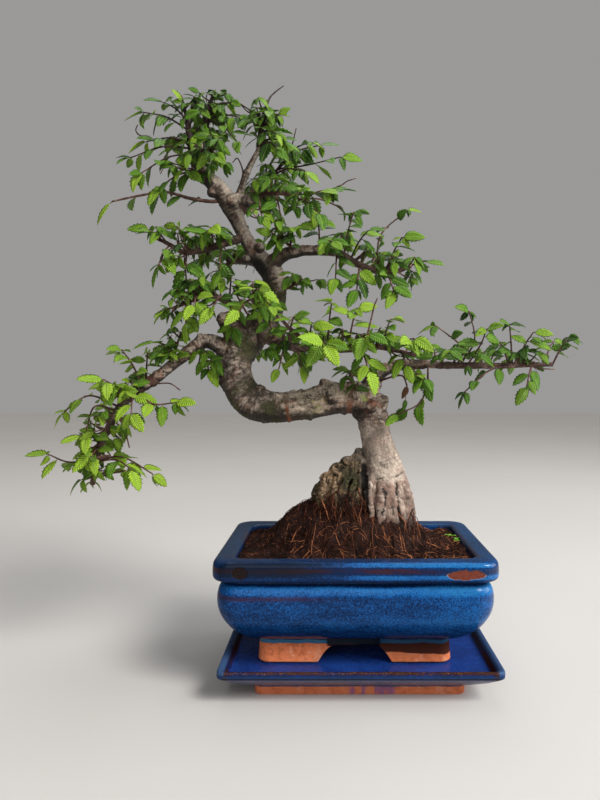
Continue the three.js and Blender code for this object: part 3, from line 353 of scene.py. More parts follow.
def spline(path: Array, t: Array) -> Array:
    """Points of a smooth curve that passes through every point of a path.

    Each span is the cubic whose slope at a point is half the step between that point's two
    neighbours. Beyond its ends the path runs straight on.

    Args:
        path: one row per point, with any number of columns.
        t: positions along the path, counted in spans.

    Returns:
        One row per position.
    """
    ends = np.vstack([2 * path[:1] - path[1:2], path, 2 * path[-1:] - path[-2:-1]])
    span = np.minimum(t.astype(int), len(path) - 2)
    f = (t - span)[:, None]
    a, b, c, d = (ends[span + k] for k in range(4))
    second = 2 * a - 5 * b + 4 * c - d
    third = 3 * b - a - 3 * c + d
    return 0.5 * (2 * b + (c - a) * f + second * f * f + third * f * f * f)


def slope(path: Array, t: Array) -> Array:
    """Unit directions of a smooth curve: the step from just before each position to just after."""
    last = len(path) - 1
    step = spline(path, np.minimum(t + 0.01, last)) - spline(path, np.maximum(t - 0.01, 0))
    return unit(step[:, :3])


def unit(vectors: Array) -> Array:
    """Vectors divided by their lengths."""
    return vectors / np.maximum(np.linalg.norm(vectors, axis=-1, keepdims=True), 1e-12)


def climb(value: Array | float, start: Array | float, span: float) -> Array | float:
    """0 up to a start and 1 from a span beyond it; a negative span climbs the other way."""
    return np.clip((value - start) / span, 0, 1)


def distances(first: Array, second: Array) -> Array:
    """The distance from each point of one list to each point of another."""
    return np.linalg.norm(first[:, None] - second[None], axis=-1)


def detail(full: float, quick: float) -> float:
    return full


def lattice_noise(points: Array, seed: int) -> Array:
    """Smooth noise from -1 to 1.

    Every corner of a unit lattice has a random value from a hash of its place, and inside a cell
    the eight corners are blended with weights that ease in and out.

    Args:
        points: places to read, one row each.
        seed: another seed gives another pattern.

    Returns:
        One value per place.
    """
    cell = np.floor(points).astype(np.int64)
    f = points - cell
    f = f * f * (3 - 2 * f)
    total = np.zeros(len(points))
    for corner in range(8):
        bits = np.array([corner & 1, corner >> 1 & 1, corner >> 2 & 1])
        x, y, z = (cell + bits).T
        mixed = (x * 73856093 ^ y * 19349663 ^ z * 83492791 ^ seed * 2971215073) & 0xFFFFFFFF
        mixed = ((mixed ^ mixed >> 15) * 2246822519) & 0xFFFFFFFF
        mixed = ((mixed ^ mixed >> 13) * 3266489917) & 0xFFFFFFFF
        value = (mixed ^ mixed >> 16) / 0x7FFFFFFF - 1
        total += value * np.prod(np.where(bits == 1, f, 1 - f), axis=1)
    return total


def layered_noise(points: Array, seed: int, layers: int = 3) -> Array:
    """Noise with finer noise of half the height added at each doubling of its pitch."""
    heights = [lattice_noise(points * 2**k, seed + k) / 2**k for k in range(layers)]
    return np.sum(heights, axis=0)


def grid_faces(rows: int, columns: int, closed: bool = False) -> Array:
    """Four-sided faces between neighbouring rows of a grid whose columns run round.

    Args:
        rows: number of rows.
        columns: number of points in a row.
        closed: whether the last row joins the first too.

    Returns:
        Point numbers, four per face.
    """
    row = np.arange(rows if closed else rows - 1)[:, None]
    column = np.arange(columns)[None, :]
    here, above = row * columns, (row + 1) % rows * columns
    after = (column + 1) % columns
    corners = [here + column, here + after, above + after, above + column]
    return np.stack(corners, axis=-1).reshape(-1, 4)


def lid_faces(columns: int, first: int, middle: int, up: bool) -> Array:
    """Triangles between one ring of points and its middle point.

    Args:
        columns: number of points in the ring.
        first: number of the ring's first point.
        middle: number of the middle point.
        up: whether the lid faces along the tube's direction, or back.

    Returns:
        Point numbers, three per face.
    """
    here = np.arange(columns)
    after = (here + 1) % columns
    if not up:
        here, after = after, here
    return np.stack([np.full(columns, middle), first + here, first + after], axis=-1)


def show(name: str, data: bpy.types.ID) -> Object:
    """Puts a new object with this data into the scene."""
    item = bpy.data.objects.new(name, data)
    bpy.context.scene.collection.objects.link(item)
    return item


def hold(data: Mesh, values: dict[str, Array]) -> None:
    """Stores named values at the points of a mesh, and shades it smooth."""
    for key, column in values.items():
        layer = data.attributes.new(key, "FLOAT", "POINT")
        layer.data.foreach_set("value", column.astype(np.float32))
    data.polygons.foreach_set("use_smooth", np.ones(len(data.polygons), dtype=bool))
    data.update()


@dataclass
class Skin:
    """A mesh that grows patch by patch, with values that its materials read at each point."""

    points: list[Array] = field(default_factory=list)
    faces: list[list[int]] = field(default_factory=list)
    materials: list[int] = field(default_factory=list)
    values: dict[str, list[Array]] = field(default_factory=dict)
    count: int = 0

    def add(
        self,
        points: Array,
        faces: Iterable[Array],
        material: int = 0,
        **values: Array | float,
    ) -> None:
        """Adds a patch.

        Args:
            points: its points in millimetres, one row each.
            faces: arrays of point numbers, counted from the patch's first point.
            material: which of the piece's materials it wears.
            values: for each named value, one number per point or one for all.
        """
        self.points.append(points)
        for block in faces:
            self.faces.extend((block + self.count).tolist())
            self.materials.extend([material] * len(block))
        for name, value in values.items():
            filled = np.broadcast_to(np.asarray(value, float), (len(points),))
            self.values.setdefault(name, []).append(filled)
        self.count += len(points)

    def add_tube(self, rings: Array, material: int = 0, **values: Array | float) -> None:
        """Adds rings of points joined side to side and closed at both ends.

        Args:
            rings: points as ring, place round the ring, and coordinate.
            material: which of the piece's materials it wears.
            values: for each named value, one number per ring or one for all.
        """
        count, columns = rings.shape[:2]
        points = np.vstack([rings.reshape(-1, 3), rings[0].mean(0), rings[-1].mean(0)])
        middle = count * columns
        spread = {}
        for name, value in values.items():
            along = np.broadcast_to(np.asarray(value, float), (count,))
            spread[name] = np.concatenate([np.repeat(along, columns), along[[0, -1]]])
        faces = [
            grid_faces(count, columns),
            lid_faces(columns, 0, middle, up=False),
            lid_faces(columns, middle - columns, middle + 1, up=True),
        ]
        self.add(points, faces, material, **spread)

    def mesh(self, name: str) -> Mesh:
        """The finished Blender mesh, in metres and smooth shaded.

        Args:
            name: the mesh's name.

        Returns:
            The mesh. A value called "u" and one called "v" become its UV map.
        """
        data = bpy.data.meshes.new(name)
        data.from_pydata((np.vstack(self.points) * MM).tolist(), [], self.faces)
        joined = {key: np.concatenate(parts) for key, parts in self.values.items()}
        if "u" in joined:
            corners = np.empty(len(data.loops), dtype=np.int32)
            data.loops.foreach_get("vertex_index", corners)
            both = np.stack([joined.pop("u"), joined.pop("v")], axis=-1)[corners]
            chart = data.uv_layers.new(name="UVMap")
            chart.data.foreach_set("uv", both.astype(np.float32).ravel())
        data.polygons.foreach_set("material_index", np.array(self.materials, dtype=np.int32))
        hold(data, joined)
        return data


def place(
    name: str,
    data: Mesh,
    finishes: Sequence[Material],
    slot: Slot,
    stands_for: Sequence[str] = (),
) -> Object:
    """Puts a mesh into the scene as a piece that rides on the part.

    Args:
        name: the piece's name.
        data: its mesh.
        finishes: its materials, in the order of the mesh's material numbers.
        slot: the record's finish meant for it; not used.
        stands_for: the solid nodes that it is shown in place of.

    Returns:
        The piece.
    """
    for finish in finishes:
        data.materials.append(finish)
    piece = show(name, data)
    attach(piece, ROOT)
    if stands_for:
        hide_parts(*stands_for)
    log.info("piece %s: %d points, %d faces", name, len(data.vertices), len(data.polygons))
    return piece


def finished(piece: Object) -> Mesh:
    """A copy of a piece's mesh with its modifiers applied; the piece itself is taken away."""
    graph = bpy.context.evaluated_depsgraph_get()
    data = bpy.data.meshes.new_from_object(piece.evaluated_get(graph), depsgraph=graph)
    bpy.data.objects.remove(piece)
    return data


def read_rows(items: Sequence[bpy.types.bpy_struct], label: str) -> Array:
    """A three-part value of every item of a mesh, one row each."""
    flat = np.empty(len(items) * 3, dtype=np.float32)
    items.foreach_get(label, flat)
    return flat.reshape(-1, 3).astype(float)


def tube_rings(path: Array, sides: int, positions: Array, swell: Array | float = 1.0) -> Array:
    """Rings of points round a path.

    Each ring lies square to the path. Its first point starts in a fixed direction and is carried
    along, so that the rings don't twist.

    Args:
        path: rows of x, y, z and radius.
        sides: points in a ring.
        positions: where the rings are, counted in spans.
        swell: factor on the radius, one for all, one per ring, or one per ring and side.

    Returns:
        Points as ring, place round the ring, and coordinate.
    """
    centre = spline(path, positions)
    tangent = slope(path, positions)
    side = np.empty((len(positions), 3))
    carried = np.array([0.3, 1.0, 0.2])
    for k, along in enumerate(tangent):
        carried = carried - along * carried.dot(along)
        carried = carried / np.linalg.norm(carried)
        side[k] = carried
    other = np.cross(tangent, side)
    angle = np.arange(sides) / sides * 2 * np.pi
    factor = np.asarray(swell, float)
    if factor.ndim == 1:
        factor = factor[:, None]
    reach = (centre[:, 3:4] * factor)[..., None]
    round_side = np.cos(angle)[None, :, None] * side[:, None, :]
    round_other = np.sin(angle)[None, :, None] * other[:, None, :]
    return centre[:, None, :3] + reach * (round_side + round_other)


def round_corners(levels: Array, times: int = 3) -> Array:
    """A smoother list of levels: each pass cuts every corner at a quarter of its two sides.

    Args:
        levels: rows of any columns. The first and the last row stay.
        times: number of passes.

    Returns:
        The rows of the smoother list.
    """
    for _ in range(times):
        first, second = levels[:-1], levels[1:]
        cut = np.stack([0.75 * first + 0.25 * second, 0.25 * first + 0.75 * second], axis=1)
        levels = np.vstack([levels[:1], cut.reshape(-1, levels.shape[1]), levels[-1:]])
    return levels


@dataclass
class Outline:
    """Places round a rectangle with round corners.

    A column is a share of the half sides, less the corner's radius, plus a share of the radius:
    x = share_x (half length - radius) + round_x radius, and the same for y.
    """

    corner_steps: int = 8
    long_steps: int = 40
    short_steps: int = 26

    def __post_init__(self) -> None:
        """Works out the columns, counter-clockwise from the right end of the back side."""
        share_x, share_y, round_x, round_y = [], [], [], []
        signs = [(1, 1), (-1, 1), (-1, -1), (1, -1)]
        for quarter, (x, y) in enumerate(signs):
            angle = (quarter + np.arange(self.corner_steps + 1) / self.corner_steps) * np.pi / 2
            steps = self.short_steps if quarter % 2 else self.long_steps
            share = np.arange(1, steps) / steps
            next_x, next_y = signs[(quarter + 1) % 4]
            share_x += [np.full(len(angle), x), x + (next_x - x) * share]
            share_y += [np.full(len(angle), y), y + (next_y - y) * share]
            round_x += [np.cos(angle), np.full(len(share), np.cos(angle[-1]))]
            round_y += [np.sin(angle), np.full(len(share), np.sin(angle[-1]))]
        self.share_x, self.share_y = np.concatenate(share_x), np.concatenate(share_y)
        self.round_x, self.round_y = np.concatenate(round_x), np.concatenate(round_y)

    def rings(self, levels: Array) -> Array:
        """Rings at each level.

        Args:
            levels: rows of half length, half depth, corner radius and height.

        Returns:
            Points as level, place round the ring, and coordinate.
        """
        length, depth, corner, height = levels.T[:, :, None]
        x = self.share_x * (length - corner) + self.round_x * corner
        y = self.share_y * (depth - corner) + self.round_y * corner
        return np.stack([x, y, np.broadcast_to(height, x.shape)], axis=-1)


# Materials
# Materials


@dataclass(frozen=True)
class Value:
    """What a node gives: a number, a place or a colour, with plain signs for arithmetic."""

    graph: "Graph"
    socket: Socket

    def __add__(self, other: object) -> "Value":
        """The sum."""
        return self.graph.math("ADD", self, other)

    def __sub__(self, other: object) -> "Value":
        """The difference."""
        return self.graph.math("SUBTRACT", self, other)

    def __mul__(self, other: object) -> "Value":
        """The product."""
        return self.graph.math("MULTIPLY", self, other)

    def __or__(self, other: object) -> "Value":
        """The larger of the two."""
        return self.graph.math("MAXIMUM", self, other)

    def __abs__(self) -> "Value":
        """The number without its sign."""
        return self.graph.math("ABSOLUTE", self)

    def rest(self) -> "Value":
        """One less the number, and never under 0."""
        return self.graph.math("SUBTRACT", 1, self, clamp=True)

    def remap(self, low: float, high: float, to_low: float = 0.0, to_high: float = 1.0) -> "Value":
        """The number moved from one range to another, held at the ends and eased between."""
        ends = (low, high, to_low, to_high)
        return self.graph.get("MapRange", self, *ends, interpolation_type="SMOOTHSTEP")

    def band(self, middle: float, half: float, soft: float) -> "Value":
        """1 within half of the middle, falling to 0 over soft beyond it."""
        return abs(self - middle).remap(half + soft, half)

    def split(self) -> list["Value"]:
        """The three coordinates of a place or a direction."""
        return self.graph.get_all("SeparateXYZ", self)

    def scaled(self, by: Point) -> "Value":
        """A place with each coordinate multiplied."""
        return self.graph.vector("MULTIPLY", self, by)

    def noise(self, scale: float, detail: float = 3.0, rough: float = 0.55) -> "Value":
        """Cloudy noise from 0 to 1, read at this place."""
        return self.graph.get("TexNoise", self, None, scale, detail, rough)

    def spot(self, middle: Point, radius: float, soft: float) -> "Value":
        """1 inside a ball round a point in millimetres, falling to 0 over soft beyond it."""
        centre = tuple(c * MM for c in middle)
        away = self.graph.vector("DISTANCE", self, centre, output="Value")
        return away.remap((radius + soft) * MM, radius * MM)


@dataclass
class Graph:
    """A node tree, with short ways to add nodes and join them."""

    tree: bpy.types.NodeTree

    def add(self, kind: str, *inputs: object, **settings: object) -> bpy.types.Node:
        """Adds a node.

        Args:
            kind: the node's type without its leading "ShaderNode".
            inputs: for its sockets in order, a value to join, a number, a tuple or None.
            settings: the node's own settings.

        Returns:
            The node.
        """
        node = self.tree.nodes.new("ShaderNode" + kind)
        for key, value in settings.items():
            setattr(node, key, value)
        for socket, value in zip(node.inputs, inputs):
            self.join(value, socket)
        return node

    def get(
        self, kind: str, *inputs: object, output: int | str = 0, **settings: object
    ) -> Value:
        """Adds a node and gives one of its outputs."""
        return Value(self, self.add(kind, *inputs, **settings).outputs[output])

    def get_all(self, kind: str, *inputs: object, **settings: object) -> list[Value]:
        """Adds a node and gives all its outputs."""
        return [Value(self, output) for output in self.add(kind, *inputs, **settings).outputs]

    def join(self, value: object, socket: Socket) -> None:
        """Joins a value to a socket, or sets the socket's own value."""
        if isinstance(value, Value):
            self.tree.links.new(value.socket, socket)
        elif value is not None:
            wide = isinstance(value, tuple) and len(value) == 3 and socket.type == "RGBA"
            socket.default_value = (*value, 1) if wide else value

    def place(self) -> Value:
        """The place on the piece, in metres."""
        return self.get("TexCoord", output="Object")

    def facing(self) -> list[Value]:
        """The coordinates of the direction that the surface faces."""
        return self.get("NewGeometry", output="Normal").split()

    def value(self, name: str, output: str = "Fac") -> Value:
        """A value that the mesh holds at each point."""
        return self.get("Attribute", attribute_name=name, output=output)

    def math(self, how: str, a: object, b: object = 0, clamp: bool = False) -> Value:
        """One step of arithmetic."""
        return self.get("Math", a, b, operation=how, use_clamp=clamp)

    def vector(self, how: str, a: object, b: object = None, output: int | str = 0) -> Value:
        """One step of arithmetic on places."""
        return self.get("VectorMath", a, b, operation=how, output=output)

    def mix(self, share: object, a: object, b: object) -> Value:
        """A blend of two colours."""
        node = self.add("Mix", data_type="RGBA")
        for number, value in ((0, share), (6, a), (7, b)):
            self.join(value, node.inputs[number])
        return Value(self, node.outputs[2])

    def layered(self, colour: object, *layers: tuple[object, object]) -> Value:
        """A colour with others laid over it in turn, each by its own share."""
        for share, over in layers:
            colour = self.mix(share, colour, over)
        return colour

    def ramp(self, value: object, stops: Sequence[tuple[float, Colour]]) -> Value:
        """Colours laid out along a value."""
        node = self.add("ValToRGB", value)
        marks = node.color_ramp.elements
        while len(marks) < len(stops):
            marks.new(0.5)
        for mark, (at, colour) in zip(marks, stops):
            mark.position = at
            mark.color = (*colour, 1)
        return Value(self, node.outputs[0])

    def group(self, tree: bpy.types.NodeTree, **inputs: object) -> dict[str, Value]:
        """Places a shared node group with its named inputs, and gives its named outputs."""
        node = self.add("Group")
        node.node_tree = tree
        for key, value in inputs.items():
            self.join(value, node.inputs[key])
        return {output.name: Value(self, output) for output in node.outputs}

    def shade(self, inputs: dict[str, object], height: object = None, depth: float = 0) -> None:
        """Feeds the material's shader.

        Args:
            inputs: the shader's inputs by name.
            height: its relief, from 0 to 1, if it has one.
            depth: the depth in millimetres that the relief stands for.
        """
        shader = self.tree.nodes["Principled BSDF"]
        if height is not None:
            inputs["Normal"] = self.get("Bump", 1, depth * MM, None, height)
        for name, value in inputs.items():
            self.join(value, shader.inputs[name])


def new_group(
    name: str, inputs: dict[str, object], outputs: Sequence[str]
) -> tuple[Graph, list[Value], bpy.types.NodeInputs]:
    """Makes an empty shader node group.

    Args:
        name: the group's name.
        inputs: the usual value of each input: None for a place, or a colour or a number.
        outputs: the outputs' names. "Colour" is a colour and the others are numbers.

    Returns:
        The group's graph, its inputs, and the sockets that take its outputs.
    """
    tree = bpy.data.node_groups.new(name, "ShaderNodeTree")
    for label, usual in inputs.items():
        kind = "Vector" if usual is None else "Color" if isinstance(usual, tuple) else "Float"
        socket = tree.interface.new_socket(label, in_out="INPUT", socket_type="NodeSocket" + kind)
        if usual is not None:
            socket.default_value = usual
    for label in outputs:
        kind = "NodeSocketColor" if label == "Colour" else "NodeSocketFloat"
        tree.interface.new_socket(label, in_out="OUTPUT", socket_type=kind)
    graph = Graph(tree)
    given = [Value(graph, s) for s in tree.nodes.new("NodeGroupInput").outputs[: len(inputs)]]
    return graph, given, tree.nodes.new("NodeGroupOutput").inputs


def new_material(name: str) -> tuple[Material, Graph, Value]:
    """Makes a material with one Principled shader.

    Args:
        name: the material's name.

    Returns:
        The material, its graph, and the place on the piece.
    """
    material = bpy.data.materials.new(name)
    material.use_nodes = True
    graph = Graph(material.node_tree)
    return material, graph, graph.place()


def speckled_glaze_group() -> bpy.types.NodeTree:
    """Speckled glaze: a dark glass shows through a brighter one, and iron breaks out brown.

    Noise of under a millimetre, made hard, sorts the surface into dark and bright specks. The
    flow sets how many are bright. Slow noise, drawn out sideways, makes faint drifts.

    Returns:
        The group, with Colour, Height and Gloss outputs.
    """
    graph, (place, deep, body, bright, brown, flow, broken), made = new_group(
        "speckled_glaze",
        {
            "Place": None,
            "Deep": (0.003, 0.014, 0.055, 1),
            "Body": (0.009, 0.098, 0.34, 1),
            "Bright": (0.03, 0.205, 0.36, 1),
            "Brown": (0.042, 0.011, 0.008, 1),
            "Flow": 0.5,
            "Break": 0,
        },
        ["Colour", "Height", "Gloss"],
    )
    speckle = place.noise(1900, 2, 0.7)
    drift = place.scaled((0.3, 0.3, 1)).noise(110, 4, 0.6)
    flow = flow + (drift - 0.5) * 0.5
    grains = speckle * 0.7 + place.noise(620, 2, 0.6) * 0.3
    over = (grains - flow.remap(0, 1, 0.66, 0.36)).remap(-0.11, 0.11)
    shine = flow.remap(0.45, 1) * speckle.remap(0.42, 0.6)
    wear_and_painted_light = broken * (drift + speckle * 0.6).remap(0.62, 0.84)
    colour = graph.layered(graph.mix(over, deep, body), (shine, bright), (wear_and_painted_light, brown))
    pits = graph.get("TexVoronoi", place, None, 330).remap(0, 0.16)
    graph.join(colour, made["Colour"])
    graph.join(pits * 0.12 + place.noise(45, 2, 0.5), made["Height"])
    graph.join(drift.remap(0.3, 0.7, 0.2, 0.34), made["Gloss"])
    return graph.tree


def bare_clay_group() -> bpy.types.NodeTree:
    """Unglazed orange clay: fine sand grains, faint turning lines and paler dusty patches.

    Returns:
        The group, with Colour and Height outputs.
    """
    graph, (place, clay, pale), made = new_group(
        "bare_clay",
        {"Place": None, "Clay": (0.78, 0.23, 0.095, 1), "Pale": (0.85, 0.45, 0.3, 1)},
        ["Colour", "Height"],
    )
    sand = place.noise(1500, 2, 0.7)
    stain = place.noise(210, 4, 0.65)
    colour = graph.layered(
        clay,
        (place.noise(90, 4, 0.6).remap(0.5, 0.85), pale),
        (sand.remap(0.55, 0.8, 0, 0.45), (0.16, 0.04, 0.015)),
        (stain.remap(0.5, 0.36, 0, 0.45), (0.36, 0.075, 0.025)),
        (stain.remap(0.62, 0.7, 0, 0.6), (0.9, 0.62, 0.48)),
    )
    graph.join(colour, made["Colour"])
    graph.join(sand + place.scaled((0.1, 0.1, 1)).noise(900, 1), made["Height"])
    return graph.tree


def bark_grain_group() -> bpy.types.NodeTree:
    """Bark: plates, furrows that follow the wood, and short raised pores that run round it.

    The value that counts millimetres along the wood is stretched hard, so the noise read with it
    forms narrow marks across the grain. Furrows are the valleys of noise, made sharp.

    Returns:
        The group, with Pale, Furrow, Pore and Height outputs.
    """
    graph, (place, along, pitch), made = new_group(
        "bark_grain",
        {"Place": None, "Along": 0, "Pitch": 1},
        ["Pale", "Furrow", "Pore", "Height"],
    )
    place = graph.get("VectorMath", place, None, None, pitch, operation="SCALE")
    rise = along * 900 + place.noise(60, 2) * 2.5
    tilted = graph.get("CombineXYZ", rise, rise, rise)
    ringed = graph.vector("ADD", place.scaled((150, 150, 150)), tilted)
    plates = place.noise(260, 4, 0.6)
    furrow = abs(plates - 0.5).remap(0.05, 0)
    pore = ringed.noise(1, 2, 0.6).remap(0.6, 0.7)
    fine = place.noise(900, 4, 0.7)
    height = fine * 0.45 + plates * 0.9 + pore * 0.35 - furrow * 0.3
    for socket, output in zip(made, (place.noise(75, 3, 0.6), furrow, pore, height)):
        graph.join(output, socket)
    return graph.tree


def leaf_vein_group() -> bpy.types.NodeTree:
    """Veins of an elm leaf: a mid rib, and straight side veins that run forward to the teeth.

    u runs along the rib and v across it. A side vein is where u times their number, less a share
    of the distance from the rib, is a whole number; between two veins the blade swells up.

    Returns:
        The group, with Vein and Height outputs.
    """
    graph, (uv, pairs), made = new_group(
        "leaf_veins", {"Map": None, "Pairs": 11}, ["Vein", "Height"]
    )
    u, v, _ = uv.split()
    away = abs(v - 0.5) * 2
    lean = graph.math("POWER", away, 0.85) * 2.6
    share = abs(graph.math("FRACT", u * pairs - lean) - 0.5)
    rib = away.remap(0.1, 0.03)
    swell = graph.math("SUBTRACT", 1, graph.math("POWER", share * 2, 2))
    graph.join(share.remap(0.38, 0.5) * 0.6 | rib, made["Vein"])
    graph.join(swell - rib * 0.8, made["Height"])
    return graph.tree


@dataclass(frozen=True)
class PotGlaze:
    """Mottled blue glaze on the pot, with a rust stripe on the lip and bare clay at the feet.

    The flows say how bright the glaze is at each height. Places on the pot are in millimetres.
    """

    glaze_ends: float = 32.3
    low: float = 30.0
    high: float = 100.0
    lip_face: tuple[float, float] = (-63.0, -65.0)
    # Grey of the painted reflection on the top of the lip
    lip_top_reflection: Colour = (0.032, 0.05, 0.07)
    burnt_clay: Colour = (0.02, 0.009, 0.008)
    dusky_clay: Colour = (0.12, 0.03, 0.015)
    drips: Colour = (0.03, 0.15, 0.28)
    # Near black of the painted shade on the left of the lip's front
    left_lip_shade: Colour = (0.004, 0.006, 0.009)
    hollow: Colour = (0.012, 0.005, 0.004)
    rust: tuple[Colour, Colour] = ((0.08, 0.018, 0.012), (0.19, 0.05, 0.03))
    chalk: Colour = (0.3, 0.22, 0.2)
    shadow: Colour = (0.003, 0.005, 0.011)
    flows: tuple[tuple[float, float], ...] = (
        (36, 0.16), (46, 0.28), (53, 0.45), (57, 0.52), (64, 0.42), (71, 0.42),
        (74, 0.36), (76.5, 0.6), (81, 0.72), (83, 0.08), (85.5, 0.06), (87.5, 0.28),
        (89.5, 0.42), (91, 0.4), (92.5, 0.22), (94, 0.1), (95.5, 0.26), (99, 0.36),
    )

    def material(self, groups: "Groups") -> Material:
        """Builds the material.

        Args:
            groups: the shared node groups.

        Returns:
            The material.
        """
        material, graph, place = new_material("pot_blue_glaze")
        x, y, z = place.scaled(TO_MM).split()
        level = z + (place.scaled((0.25, 0.25, 1)).noise(60, 3) - 0.5) * 5
        stops = [((h - self.low) / (self.high - self.low), (f, f, f)) for h, f in self.flows]
        flow = graph.ramp(graph.get("MapRange", level, self.low, self.high), stops)
        left = x.remap(70, -60)
        front = y.remap(*self.lip_face)
        stripe = level.band(94, 0.7, 1.5) * x.remap(66, 40, 0.05, 0.75)
        smoke = level.band(73.8, 0.4, 2.2) * left.remap(0.6, 1, 0, 0.5)
        streak = abs(y).remap(54, 52) * place.noise(38, 3, 0.6).remap(0.42, 0.56)
        rim = abs(x).band(87, 1, 1.6) * streak * z.remap(94, 97, 0, 0.8)
        # Painted light and shade: the glaze is a little brighter towards the right end and darker
        # on the left, most on the lip
        flow = flow + x.remap(20, 80, 0, 0.08) - left * z.remap(82, 85, 0.05, 0.13)
        # Painted highlight along the front of the lip's upper edge, bright on the right and
        # turning to painted shade on the far left
        flow = flow + z.band(98, 1, 1.4) * front * x.remap(-50, 10, -0.16, 0.4)
        flow = flow + z.band(89.2, 1, 1.2) * x.remap(-50, 20, 0, 0.26)
        glaze = graph.group(groups.glaze, Place=place, Flow=flow, Break=stripe | rim | smoke)
        clay = graph.group(groups.clay, Place=place)
        edge = z + (place.noise(90, 2) - 0.5) * 2.4
        right_foot = x.remap(0, 5)
        foot = graph.layered(
            clay["Colour"],
            (right_foot * (edge + (x - 20) * 0.05).remap(26.2, 27), self.burnt_clay),
            (x.remap(-5, 10, 0, 0.34), self.dusky_clay),
        )
        under = graph.facing()[2].remap(-0.75, -0.9) * z.remap(40, 38)
        bare = edge.remap(self.glaze_ends + 0.4, self.glaze_ends - 0.4) | under
        drips = edge.band(33.6, 0.9, 0.8) * right_foot.remap(1, 0, 0.35, 1)
        scar, hole = self.chips(graph, place)
        rail = x.band(-1, 18.5, 2) * z.remap(30.2, 30.9) * z.remap(41, 38)
        colour = graph.layered(
            glaze["Colour"],
            # Painted reflection: grey over the top of the lip, less on its front face
            (z.remap(96, 99.2, 0, 0.5) * y.remap(-63, -48, 0.25, 1), self.lip_top_reflection),
            (drips * abs(x).remap(75, 73), self.drips),
            # Painted shade on the left of the lip's front
            (z.band(94.6, 4.6, 1.5) * front * x.remap(5, -50, 0, 0.72), self.left_lip_shade),
            (hole, self.hollow),
            (scar.remap(0.4, 0.6), graph.mix(place.noise(420, 3), *self.rust)),
            (scar.band(0.45, 0.12, 0.2) * 0.45, self.chalk),
            (bare, foot),
            (rail * 0.95, self.shadow),
        )
        glassy = z.remap(97.5, 99, 0.13, 0.5) * x.remap(-20, 80, 1, 0.45)
        corner = x.remap(78, 96, 0, 0.55) * y.remap(-50, -58, 0.2, 1)
        inputs = {
            "Base Color": colour,
            "Roughness": bare * 0.85 | scar * 0.5 | glaze["Gloss"],
            "Coat Weight": bare.rest() * ((glassy | corner) * rail.rest()),
            "Coat Roughness": 0.07,
            "Specular IOR Level": 0.04,
        }
        height = glaze["Height"] + (scar | hole) * -1.2 + bare * clay["Height"] * 0.3
        graph.shade(inputs, height, 0.55)
        return material

    @staticmethod
    def chips(graph: Graph, place: Value) -> tuple[Value, Value]:
        """Masks of a long bare chip and of a small dark hollow on the front lip.

        Args:
            graph: the material's graph.
            place: the place on the piece.

        Returns:
            1 inside the chip and 1 inside the hollow.
        """
        ragged = graph.get("TexNoise", place, None, 230, output="Color")
        shake = graph.vector("SUBTRACT", ragged, (0.5, 0.5, 0.5)).scaled((0.0035, 0.0035, 0.003))
        moved = graph.vector("ADD", place, shake)
        masks = []
        spots = (((75.5, -66, 91.2), (13, 9, 3.4)), ((-79.5, -66, 92.5), (5.4, 9, 4.2)))
        for middle, half in spots:
            away = graph.vector("SUBTRACT", moved, tuple(c * MM for c in middle))
            away = away.scaled(tuple(1 / (h * MM) for h in half))
            masks.append(graph.vector("LENGTH", away, output="Value").remap(1.12, 0.9))
        speckled = place.noise(800, 3, 0.7).remap(0.62, 0.5, 0.45, 1)
        return masks[0], masks[1] * speckled


